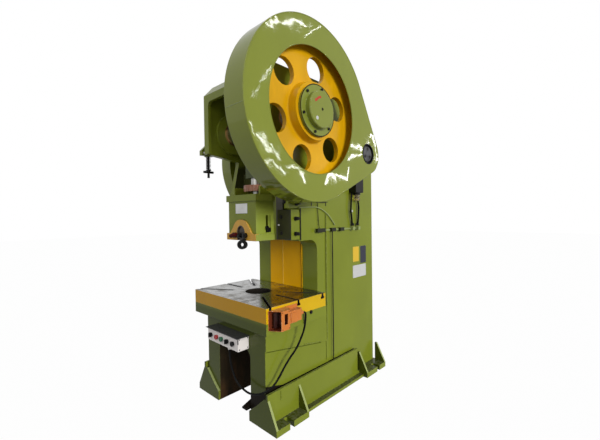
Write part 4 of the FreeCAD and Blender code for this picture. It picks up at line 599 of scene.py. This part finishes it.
def seenMask(tree, sheen):
    # 1 for the camera's own rays and through glass, and less in a reflection
    rays = tree.nodes.new("ShaderNodeLightPath").outputs
    seen = maths(tree, "MAXIMUM", rays["Is Camera Ray"], times(tree, rays["Is Glossy Ray"], sheen))
    return maths(tree, "MAXIMUM", seen, rays["Is Transmission Ray"])


def blendShaders(tree, amount, first, second, target):
    mix = tree.nodes.new("ShaderNodeMixShader")
    for slot, source in zip(mix.inputs, (amount, first.outputs[0], second.outputs[0])):
        wire(tree, source, slot)
    wire(tree, mix.outputs[0], tree.nodes[target].inputs["Surface"])


def addLamp(name, kind):
    lamp = bpy.data.objects.new(name, bpy.data.lights.new(name, kind))
    scene.collection.objects.link(lamp)
    return lamp


def addGlint(fromY, fromZ, toY, toZ, width):
    # a workshop lamp, seen only in the sheen of the paint
    ends = []
    for y, z in ((fromY, fromZ), (toY, toZ)):
        place = at(studio["sheenPlane"], y, z)
        away = place - studio["cameraPlace"]
        away.x = -away.x
        ends.append(place + away.normalized() * studio["glintFar"])
    middle, along = (ends[0] + ends[1]) / 2, ends[1] - ends[0]
    face = (middle - at(studio["sheenPlane"], 0, studio["sheenHeight"])).normalized()
    across = face.cross(along).normalized()
    lamp = addLamp("glintLamp", "AREA")
    lamp.data.shape, lamp.data.size, lamp.data.size_y = "RECTANGLE", along.length, width
    lamp.data.energy = studio["glintGlow"] * math.pi * along.length * width
    lamp.matrix_world = Matrix.Translation(middle) @ Matrix((across.cross(face), across, face)).transposed().to_4x4()
    lamp.visible_camera = False


def buildStage():
    white = (1, 1, 1, 1)
    bpy.ops.mesh.primitive_plane_add(size=studio["floorSize"], location=(0, 0, 0))
    floor = bpy.context.active_object
    floor.name = "studioFloor"
    material, tree, surface = startMaterial("paleFloor")
    surface.inputs["Base Color"].default_value = (*[studio["floorTone"]] * 3, 1)
    surface.inputs["Roughness"].default_value = studio["floorRough"]
    glow = tree.nodes.new("ShaderNodeEmission")
    glow.inputs["Color"].default_value = white
    seen = times(tree, seenMask(tree, studio["floorSheen"]), studio["floorWhite"])
    blendShaders(tree, seen, surface, glow, "Material Output")
    floor.data.materials.append(material)

    world = bpy.data.worlds.new("softRoom")
    scene.world = world
    world.use_nodes = True
    tree = world.node_tree
    soft = tree.nodes["Background"]
    soft.inputs["Color"].default_value = studio["worldColour"]
    soft.inputs["Strength"].default_value = studio["worldStrength"]
    bare = tree.nodes.new("ShaderNodeBackground")
    bare.inputs["Color"].default_value = white
    blendShaders(tree, seenMask(tree, studio["roomSheen"]), soft, bare, "World Output")

    for glint in studio["glints"]:
        addGlint(*glint)
    for name in ("key", "fill"):
        lamp = addLamp(name + "Lamp", "SUN")
        lamp.data.energy = studio[name + "Strength"]
        lamp.data.angle = math.radians(studio[name + "Angle"])
        lamp.rotation_euler = Vector(studio[name + "Aim"]).to_track_quat("-Z", "Y").to_euler()
        lamp.visible_glossy = name == "fill"


def buildCamera():
    yaw, pitch, roll = (math.radians(studio[key]) for key in ("yaw", "pitch", "roll"))
    ahead = Vector((-math.sin(yaw) * math.cos(pitch), math.cos(yaw) * math.cos(pitch), math.sin(pitch)))
    level = Vector((math.cos(yaw), math.sin(yaw), 0))
    up = level.cross(ahead)
    right = level * math.cos(roll) + up * math.sin(roll)
    up = up * math.cos(roll) - level * math.sin(roll)
    camera = bpy.data.objects.new("photoCamera", bpy.data.cameras.new("photoCamera"))
    camera.data.sensor_width = studio["sensor"]
    camera.data.lens = studio["focalPixels"] * studio["sensor"] / studio["photoWidth"]
    turn = Matrix((right, up, -ahead)).transposed().to_4x4()
    camera.matrix_world = Matrix.Translation(studio["cameraPlace"]) @ turn
    scene.collection.objects.link(camera)
    scene.camera = camera


buildStage()
buildCamera()
scene.view_settings.view_transform = "Standard"
print("studio ready")


def addPiece(name, mesh, body, material=None):
    # a finished mesh whose place is in its own points
    piece = bpy.data.objects.new(name, mesh)
    scene.collection.objects.link(piece)
    if material:
        mesh.materials.clear()
        mesh.materials.append(finish[material])
    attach(piece, body)
    return piece


def plainMesh(source):
    # what an object shows with its modifiers or bevel, as a mesh; the object goes
    bpy.context.view_layer.update()
    graph = bpy.context.evaluated_depsgraph_get()
    mesh = bpy.data.meshes.new_from_object(source.evaluated_get(graph))
    bpy.data.objects.remove(source)
    return mesh


def shapeTree(name, inputs):
    shape = ("Geometry", "Geometry")
    return newGroup(name, [(*shape, None), *inputs, ("Finish", "Material", None)], [shape], "GeometryNodeTree")


def namedAttribute(tree, name, kind):
    return addNode(tree, "GeometryNodeInputNamedAttribute", {"data_type": kind}, Name=name)["Attribute"]


def placePieces(tree, points, piece, way, scale, coat, outside):
    # the piece at every point, turned to its way, as one painted mesh
    turn = addNode(tree, "FunctionNodeAlignRotationToVector", {"axis": "Z"}, Vector=way)["Rotation"]
    placed = addNode(tree, "GeometryNodeInstanceOnPoints", Points=points, Instance=piece, Rotation=turn, Scale=scale)
    real = addNode(tree, "GeometryNodeRealizeInstances", Geometry=placed["Instances"])["Geometry"]
    painted = addNode(tree, "GeometryNodeSetMaterial", Geometry=real, Material=coat)["Geometry"]
    wire(tree, painted, outside["Geometry"])


headLook = {"washerSides": 20, "washerTop": 0.14, "shoulder": 0.68, "top": 0.80, "topWide": 0.84}
weldLook = {"step": 0.009, "bead": 0.006, "seed": 4, "segments": 8, "rings": 4, "least": (0.85, 0.85, 0.9),
            "most": (1.1, 1.1, 1.3)}


def buildHeadTree():
    # a bolt head on a washer at each point: "facing" is its way out, "width" half its size across corners
    look = headLook
    tree, inside, outside = shapeTree("boltHeads", [("Sides", "Int", 6), ("Washer", "Float", 1.3)])
    joined = tree.nodes.new("GeometryNodeJoinGeometry")
    for sides, low, high, bottom, top in (
            (look["washerSides"], 0.0, look["washerTop"], inside["Washer"], inside["Washer"]),
            (inside["Sides"], look["washerTop"], look["shoulder"], 1.0, 1.0),
            (inside["Sides"], look["shoulder"], look["top"], 1.0, look["topWide"])):
        cone = addNode(tree, "GeometryNodeMeshCone", {"fill_type": "NGON"}, Vertices=sides, Radius_Top=top,
                       Radius_Bottom=bottom, Depth=high - low)["Mesh"]
        drum = addNode(tree, "GeometryNodeTransform", Translation=(0, 0, low), Geometry=cone)["Geometry"]
        wire(tree, drum, joined.inputs["Geometry"])
    placePieces(tree, inside["Geometry"], joined.outputs["Geometry"], namedAttribute(tree, "facing", "FLOAT_VECTOR"),
                namedAttribute(tree, "width", "FLOAT"), inside["Finish"], outside)
    return tree


def buildWeldTree():
    # overlapping scales of weld along each edge of the mesh it is given
    look = weldLook
    sizes = [("Step", "Float", look["step"]), ("Bead", "Float", look["bead"]), ("Seed", "Int", look["seed"])]
    tree, inside, outside = shapeTree("weldBeads", sizes)
    curve = addNode(tree, "GeometryNodeMeshToCurve", Mesh=inside["Geometry"])["Curve"]
    steps = addNode(tree, "GeometryNodeResampleCurve", {"mode": "LENGTH"}, Curve=curve, Length=inside["Step"])["Curve"]
    ball = addNode(tree, "GeometryNodeMeshUVSphere", Segments=look["segments"], Rings=look["rings"],
                   Radius=inside["Bead"])["Mesh"]
    vary = addNode(tree, "FunctionNodeRandomValue", {"data_type": "FLOAT_VECTOR"}, Min=look["least"],
                   Max=look["most"], Seed=inside["Seed"])["Value"]
    way = addNode(tree, "GeometryNodeInputTangent")["Tangent"]
    placePieces(tree, steps, ball, way, vary, inside["Finish"], outside)
    return tree


headTree, weldTree = buildHeadTree(), buildWeldTree()


def grow(name, tree, mesh, **values):
    # the tree's result on this mesh, as a plain mesh
    source = bpy.data.objects.new(name, mesh)
    scene.collection.objects.link(source)
    modifier = source.modifiers.new(name, "NODES")
    modifier.node_group = tree
    sockets = {item.name: item.identifier for item in tree.interface.items_tree if item.in_out == "INPUT"}
    for label, value in values.items():
        modifier[sockets[label.replace("_", " ")]] = value
    return plainMesh(source)


ways = {"right": (1, 0, 0), "left": (-1, 0, 0), "front": (0, -1, 0), "up": (0, 0, 1)}


def addHeads(name, body, material, spots, sides=6, washer=1.3):
    # spots: (x, y, z, way out, half width), in millimetres
    mesh = bpy.data.meshes.new(name)
    mesh.from_pydata([at(*spot[:3]) for spot in spots], [], [])
    facing = mesh.attributes.new("facing", "FLOAT_VECTOR", "POINT")
    for i, spot in enumerate(spots):
        facing.data[i].vector = ways[spot[3]]
    width = mesh.attributes.new("width", "FLOAT", "POINT")
    for i, spot in enumerate(spots):
        width.data[i].value = spot[4] / 1000
    grown = grow(name, headTree, mesh, Sides=sides, Washer=washer, Finish=finish[material])
    return addPiece(name, grown, body)


def addWelds(name, body, lines, bead=weldLook["bead"]):
    mesh = bpy.data.meshes.new(name)
    points, edges = [], []
    for line in lines:
        first = len(points)
        points += [at(*point) for point in line]
        edges += [(i, i + 1) for i in range(first, len(points) - 1)]
    mesh.from_pydata(points, edges, [])
    grown = grow(name, weldTree, mesh, Bead=bead, Finish=finish["pressGreen"])
    for face in grown.polygons:
        face.use_smooth = True
    return addPiece(name, grown, body)


curveLook = {"sides": 6, "order": 3, "pipeSteps": 12, "cableSteps": 16}
edgeEase = {"segments": 2, "profile": 0.6}


def layCurve(name, routes, radius, resolution, ring=False):
    # round lines through control points in millimetres; the radius is in metres
    data = bpy.data.curves.new(name, "CURVE")
    data.dimensions = "3D"
    data.bevel_depth = radius
    data.bevel_resolution = curveLook["sides"]
    data.use_fill_caps = True
    for route in routes:
        line = data.splines.new("NURBS")
        line.points.add(len(route) - 1)
        for point, place in zip(line.points, route):
            point.co = (*at(*place), 1)
        line.order_u = curveLook["order"]
        line.use_endpoint_u = not ring
        line.use_cyclic_u = ring
        line.resolution_u = resolution
    piece = bpy.data.objects.new(name, data)
    scene.collection.objects.link(piece)
    return piece


def addPipe(name, body, material, routes, radius, ring=False):
    mesh = plainMesh(layCurve(name, routes, radius / 1000, curveLook["pipeSteps"], ring))
    for face in mesh.polygons:
        face.use_smooth = True
    return addPiece(name, mesh, body, material)


def endMesh(made, name, body, material):
    mesh = bpy.data.meshes.new(name)
    made.to_mesh(mesh)
    made.free()
    return addPiece(name, mesh, body, material)


def easeEdges(made, bevel):
    bmesh.ops.bevel(made, geom=made.edges[:], offset=bevel / 1000, affect="EDGES", **edgeEase)


def joinRings(made, pairs):
    for below, above in pairs:
        for i in range(len(below)):
            made.faces.new((below[i - 1], below[i], above[i], above[i - 1]))


def addPlates(name, body, material, boxes, bevel=1.0):
    # flat plates with eased edges: (low corner, high corner) in millimetres
    made = bmesh.new()
    for low, high in boxes:
        corner, far = at(*low), at(*high)
        place = Matrix.Translation((corner + far) / 2) @ Matrix.Diagonal((*(far - corner), 1))
        bmesh.ops.create_cube(made, size=1, matrix=place)
    easeEdges(made, bevel)
    return endMesh(made, name, body, material)


def addTurned(name, body, material, places, profile, steps=40, closed=False):
    # round pieces: profile (distance out, radius) turned about each (x, y, z, way), in millimetres
    made = bmesh.new()
    for x, y, z, way in places:
        out = Vector(ways[way]).normalized()
        side = out.orthogonal().normalized()
        other = out.cross(side)
        rings = []
        for distance, radius in profile:
            ring = []
            for i in range(steps):
                angle = 2 * math.pi * i / steps
                offset = (side * math.cos(angle) + other * math.sin(angle)) * radius + out * distance
                ring.append(made.verts.new(at(x, y, z) + offset / 1000))
            rings.append(ring)
        joinRings(made, zip(rings, rings[1:] + rings[:1] * closed))
        if not closed:
            made.faces.new(list(reversed(rings[0])))
            made.faces.new(rings[-1])
    bmesh.ops.recalc_face_normals(made, faces=made.faces[:])
    return endMesh(made, name, body, material)


def addPrisms(name, body, material, shapes, bevel=0.8):
    # flat shapes with a thickness: (axis, low, high, outline), the outline in the other two directions
    made = bmesh.new()
    for axis, low, high, outline in shapes:
        ends = []
        for depth in (low, high):
            corners = []
            for first, second in outline:
                place = [first, second]
                place.insert("xyz".index(axis), depth)
                corners.append(made.verts.new(at(*place)))
            ends.append(corners)
        made.faces.new(ends[0])
        made.faces.new(ends[1])
        joinRings(made, [ends])
    bmesh.ops.recalc_face_normals(made, faces=made.faces[:])
    if bevel:
        easeEdges(made, bevel)
    return endMesh(made, name, body, material)


def addLoops(name, body, material, loops, radius, steps=8):
    # a rolled edge round a closed outline that lies across X: (x, [(y, z), ...]), in millimetres
    made = bmesh.new()
    for x, outline in loops:
        rings = []
        for i in range(len(outline)):
            here, before = Vector(outline[i]), Vector(outline[i - 1])
            ahead = (Vector(outline[(i + 1) % len(outline)]) - before).normalized()
            across = Vector((ahead.y, -ahead.x))
            ring = []
            for step in range(steps):
                angle = 2 * math.pi * step / steps
                flat = here + across * radius * math.cos(angle)
                ring.append(made.verts.new(at(x + radius * math.sin(angle), flat.x, flat.y)))
            rings.append(ring)
        joinRings(made, zip(rings, rings[1:] + rings[:1]))
    bmesh.ops.recalc_face_normals(made, faces=made.faces[:])
    for face in made.faces:
        face.smooth = True
    return endMesh(made, name, body, material)


cable = {
    "radius": 0.008, "smoothing": 0.975,  # metres, and the smooth line's length over that of its straight runs
    "route": [(530, 2, 862), (530, 52, 862), (520, 60, 795), (506, 58, 710), (490, 39, 643), (478, -7, 561),
              (468, -78, 502), (462, -135, 442), (456, -190, 373), (454, -250, 330), (440, -328, 312),
              (362, -336, 277), (276, -336, 257), (186, -335, 269), (109, -333, 299), (51, -331, 383),
              (21, -330, 470), (21, -330, 544)],
}


def buildCable():
    piece = layCurve("controlCable", [cable["route"]], cable["radius"], curveLook["cableSteps"])
    piece.data.materials.append(finish["hoseBlack"])
    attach(piece, "press_frame")
    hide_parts("control_cable")
    runs = zip(cable["route"], cable["route"][1:])
    length = sum((at(*b) - at(*a)).length for a, b in runs) * cable["smoothing"]


buildCable()
print("cable laid")


def circlePoints(y, z, radius, start=0.0, sweep=360.0, steps=120):
    # places on a circle that lies across X
    for i in range(steps):
        angle = math.radians(start + sweep * i / steps)
        yield y + radius * math.cos(angle), z + radius * math.sin(angle)


# screws and nuts
fasteners = {
    "hub": dict(circle=167, start=16, count=6, face=728),
    "socket": [(0, 11), (9.2, 11), (10, 10), (10, 6), (4, 5.6)],
    "gib": dict(across=280, face=28, heights=(1483, 1618), size=14),
    "cheek": dict(across=352, face=0, height=1745, size=14),
    "under": dict(across=500, back=148, height=827, size=13),
}
hub, gib, cheek, under = (fasteners[name] for name in ("hub", "gib", "cheek", "under"))
hubSpots = [(hub["face"], y, z, "right")
            for y, z in circlePoints(0, crankHeight, hub["circle"], hub["start"], steps=hub["count"])]
hubHeads = addTurned("hubHeads", "gear", "darkSteel", hubSpots, fasteners["socket"], 24)
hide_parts("hub_bolts")
addHeads("gibHeads", "press_frame", "darkSteel",
         [(sign * gib["across"], gib["face"], height, "front", gib["size"])
          for sign in (1, -1) for height in gib["heights"]]
         + [(sign * cheek["across"], cheek["face"], cheek["height"], "front", cheek["size"]) for sign in (1, -1)])
addHeads("bolsterBolts", "press_frame", "darkSteel",
         [(sign * under["across"], under["back"], under["height"], way, under["size"])
          for sign, way in ((1, "right"), (-1, "left"))])
print("fasteners placed")

# bare plates where the press carries its labels
plates = {
    "yellow": ((400, 909, 1149), (401.5, 1015, 1303)),
    "dark": ((400, 1043, 1123), (401.5, 1149, 1303)),
    "white": ((400, 905, 985), (401.5, 1146, 1112)),
}
pinLook = {"inset": 7, "size": 2.6}
pins = []
for colour, (low, high) in plates.items():
    addPlates(colour + "Plate", "press_frame", "plate" + colour.capitalize(), [(low, high)], 0.4)
    for y in (low[1] + pinLook["inset"], high[1] - pinLook["inset"]):
        for z in (low[2] + pinLook["inset"], high[2] - pinLook["inset"]):
            pins.append((high[0], y, z, "right", pinLook["size"]))
addHeads("platePins", "press_frame", "machinedSteel", pins, sides=12, washer=1.0)
print("plates placed")

# oil pump, hoses and thin pipes: radii and places in millimetres
oiling = {
    "sleeve": [(0, 11), (2, 12.5), (20, 12.5), (22, 11)], "sleeves": [(425, 859, 1655, "up"), (425, 969, 1772, "up")],
    "ferrule": [(0, 10), (3, 14), (22, 14), (26, 10.5)], "ferrules": [(425, 878, 1519, "up"), (425, 964, 1519, "up")],
    "fitting": [(0, 24), (6, 26), (9, 26), (11, 20), (14, 18)], "cap": [(0, 20), (8, 20), (9, 14), (16, 14), (18, 10)],
    "tube": 5, "wire": 3,
    "tubeRoute": [(412, 111, 1696), (412, 315, 1706), (412, 397, 1689), (412, 482, 1648), (412, 541, 1602),
                  (412, 601, 1535)],
    "wireRoutes": [[(402, 135, 1701), (402, 356, 1703)], [(412, 350, 1737), (412, 352, 1640), (412, 373, 1497)],
                   [(401, 137, 1701), (401, 132, 1422)]],
    "bracket": [((400, 276, 1744), (424, 484, 1750)), ((400, 276, 1712), (403, 286, 1746)),
                ((400, 474, 1712), (403, 484, 1746))],
}
addTurned("whiteSleeves", "press_frame", "plateWhite", oiling["sleeves"], oiling["sleeve"])
addPipe("paleTube", "press_frame", "paleGreen", [oiling["tubeRoute"]], oiling["tube"])
addPipe("thinWires", "press_frame", "hoseBlack", oiling["wireRoutes"], oiling["wire"])
addPlates("tubeBracket", "press_frame", "darkSteel", oiling["bracket"], 0.8)
addTurned("pipeEnds", "press_frame", "darkSteel", oiling["ferrules"], oiling["ferrule"])
addTurned("pumpFitting", "press_frame", "machinedSteel", [(470, 952, 1930, "right")],
          oiling["fitting"])
addTurned("pumpCap", "press_frame", "machinedSteel", [(440, 925, 1989, "up")], oiling["cap"])
print("oiling placed")

# the gear cover's rolled edges, its window, the shaft end in it, and the marks and painted shade on the gear's hub
cover = {
    "big": (0, crankHeight, 675), "lobe": (713.3, 2177.2, 174), "window": (0, crankHeight, 472),
    "eye": (713.3, 2177.2), "face": 709, "roll": 4.5, "ringFace": 711, "capFace": 700, "hollowFace": 704.2,
    "ring": [(-6, 79), (1.5, 79), (2.5, 81), (2.5, 91), (0.5, 93), (-6, 93)],
    "shaftCap": [(0, 70), (3, 70), (5, 66), (5, 28), (7, 26), (7, 10)],
    "hollow": [(0, 15), (1.4, 15), (1.8, 13)], "hollowCircle": 46,
    "hubFace": 770, "hubPlug": [(0, 11), (1.0, 11), (1.05, 10)],
    "sight": [(0, 14), (1.0, 14), (1.06, 12)], "sightPlace": (-59, 2336),
    "shadowFace": 727, "shadow": [(0, 186), (0, 193), (1.2, 193), (1.2, 186)],
    "arrowRadii": (79, 95), "arrowTip": [(-58, 2459), (-82, 2447), (-84, 2475)], "arrowThick": 1.05,
    "seam": [(522, -674.4, 2327), (612, -674.4, 2327), (704, -674.4, 2327)], "seamRadius": 2.5,
}


def coverOutline():
    # both circles and the two straight runs that touch them
    (y, z, wide), (lobeY, lobeZ, small) = cover["big"], cover["lobe"]
    lean = math.degrees(math.atan2(lobeZ - z, lobeY - y))
    apartBy = math.degrees(math.acos((wide - small) / math.hypot(lobeY - y, lobeZ - z)))
    return [*circlePoints(y, z, wide, lean + apartBy, 360 - 2 * apartBy),
            *circlePoints(lobeY, lobeZ, small, lean - apartBy, 2 * apartBy, 40)]


def turnArrow():
    inner, outer = (list(circlePoints(0, crankHeight, radius, 100, 44, 12)) for radius in cover["arrowRadii"])
    return [*inner, *cover["arrowTip"], *reversed(outer)]


def onCover(face, y, z):
    return [(cover[face], y, z, "right")]


eye, hubFace = cover["eye"], cover["hubFace"]
addLoops("coverEdges", "press_frame", "guardGreen",
         [(cover["face"], coverOutline()), (cover["face"], list(circlePoints(*cover["window"])))], cover["roll"])
addTurned("eyeRing", "press_frame", "hoseBlack", onCover("ringFace", *eye), cover["ring"], 48, True)
addTurned("shaftCap", "countershaft", "dullSteel", onCover("capFace", *eye), cover["shaftCap"], 48)
lobes = [(cover["hollowFace"], y, z, "right") for y, z in circlePoints(*eye, cover["hollowCircle"], 90, 360, 3)]
addTurned("capHollows", "countershaft", "shadowBrown", lobes, cover["hollow"], 24)
# a dark disc at the hub's middle: painted shade of its hole
addTurned("hubPlug", "gear", "shadowBrown", onCover("hubFace", 0, crankHeight), cover["hubPlug"], 24)
addTurned("hubSight", "gear", "plateAluminium", onCover("hubFace", *cover["sightPlace"]),
          cover["sight"], 24)
addPrisms("turnMark", "gear", "markRed", [("x", hubFace, hubFace + cover["arrowThick"], turnArrow())], 0)
addTurned("hubShadowRing", "gear", "shadowBrown", onCover("shadowFace", 0, crankHeight),
          cover["shadow"], 72, True)
# the rim's joint line: its pale green is a painted highlight along the seam
addPipe("rimSeam", "press_frame", "paleGreen", [cover["seam"]], cover["seamRadius"])
print("gear cover dressed")

# the ram's knob, its wiper slot, and small things on the gibs
ramTrim = {
    "knob": [(0, 8), (8, 8), (10, 15), (20, 16), (24, 12)], "knobPlace": (190, -62, 1531, "right"),
    "slot": ((189, -19, 1491), (190.8, -13, 1636)),
    "lever": [(-20, -214, 1470), (-50, -217, 1471), (-88, -217, 1462), (-104, -216, 1456)], "leverRadius": 17,
    "cheeks": [((168, -120, 1811), (189, 110, 1884)), ((-189, -120, 1811), (-168, 110, 1884))],
    "nipple": [(0, 7), (4, 7), (5, 5), (11, 4), (13, 2.5)],
    "nipples": [(254, 28, 1550, "front"), (-254, 28, 1550, "front")],
    "foot": [((190, -183.5, 1423), (204.5, 25, 1477)), ((-204.5, -183.5, 1423), (-190, 25, 1477))],
    "ringCentre": (62, -221, 1391), "ringReach": 28, "ringRod": 12.5, "ringTurn": 47, "ringPoints": 12,
}


def ringRoute():
    # the lifting ring stands upright, turned a little from the ram's front
    middleX, middleY, middleZ = ramTrim["ringCentre"]
    side = math.radians(ramTrim["ringTurn"])
    for step in range(ramTrim["ringPoints"]):
        turn = 2 * math.pi * step / ramTrim["ringPoints"]
        reach = ramTrim["ringReach"] * math.cos(turn)
        yield (middleX + reach * math.sin(side), middleY + reach * math.cos(side),
               middleZ + ramTrim["ringReach"] * math.sin(turn))


addTurned("ramKnob", "ram", "knobBlack", [ramTrim["knobPlace"]], ramTrim["knob"], 24)
addPipe("clampLever", "ram", "leverRed", [ramTrim["lever"]], ramTrim["leverRadius"])
addPlates("ramCheeks", "ram", "pressGreen", ramTrim["cheeks"], 3)
# the ram's foot plates are a lighter green with pale edges: painted light on the ram's sides
addPlates("ramFoot", "ram", "footGreen", ramTrim["foot"], 3)
addPipe("liftingRing", "ram", "knobBlack", [list(ringRoute())], ramTrim["ringRod"], ring=True)
addPlates("ramSlot", "ram", "shadowBrown", [ramTrim["slot"]], 0.3)
addTurned("gibNipples", "press_frame", "plateWhite", ramTrim["nipples"], ramTrim["nipple"], 20)

# throat panel, box and switch trim
trim = {
    "fold": ((-33, 338.5, 958), (-27, 341.5, 1398)), "gap": ((211, 338.5, 958), (217, 341.0, 1398)),
    "boxScrews": [(200, -362, 582), (200, -362, 660), (200, -282, 582), (200, -282, 660)], "boxScrew": 4,
    "switchScrews": [(590, -260, 801), (590, -194, 801), (590, -194, 924), (590, -260, 924)], "switchScrew": 3,
    "latch": ((196, -377.5, 625), (201.5, -371, 662)),
}
# the fold strip's lighter yellow is a painted highlight on the panel's fold
addPlates("panelFold", "press_frame", "foldYellow", [trim["fold"]], 0.8)
addPlates("panelGap", "press_frame", "shadowBrown", [trim["gap"]], 0.3)
for name, slotName in (("box", "machined_steel"), ("switch", "dark_steel")):
    addHeads(name + "Screws", "press_frame", "darkSteel",
             [(*spot, "right", trim[name + "Screw"]) for spot in trim[name + "Screws"]], 12, 1.2)
addPlates("boxLatch", "press_frame", "lidGrey", [trim["latch"]], 0.6)

# dark sheets where the frame stands in its rails: painted shadow in the gaps there
packing = {
    "front": ("y", -272.5, -270, [(218.3, 84), (290, 139), (399, 238), (399, 268), (372, 262), (218.3, 212)]),
    "side": ("x", 400, 402, [(-270, 262), (-270, 322), (-180, 300), (-90, 276), (905, 270), (905, 262)]),
    "tray": ("x", 160, 217, [(-315, 102), (-165, 102), (-165, 150)]),
    "rails": [((402, -268, 262), (424, 900, 266)), ((-424, -268, 262), (-402, 900, 266))],
}
addPrisms("footPacking", "press_frame", "shadowBrown",
          [packing["front"], packing["side"], packing["tray"]], 0.5)
addPlates("railGapFill", "press_frame", "shadowBrown", packing["rails"], 0.3)
print("trim placed")

# weld beads
welds = [
    [(409, 471, 490), (409, 471, 1640)], [(-409, 471, 490), (-409, 471, 1640)],
    [(409, 163, 530), (409, 376, 491)], [(-409, 163, 530), (-409, 376, 491)],
    [(446, -153, 198), (446, -153, 262)],
]
addWelds("frameWelds", "press_frame", welds, 0.005)
# thin dark lines along the bed plate's edges: painted shade
seams = [[(401, -266, 585), (401, -60, 551), (401, 389, 478)], [(401, 465, 300), (401, 465, 470)]]
mirrored = [[(-x, y, z) for x, y, z in seam] for seam in seams]
addPipe("bedSeams", "press_frame", "seamGreen", seams + mirrored, 2.5)
print("welds laid")
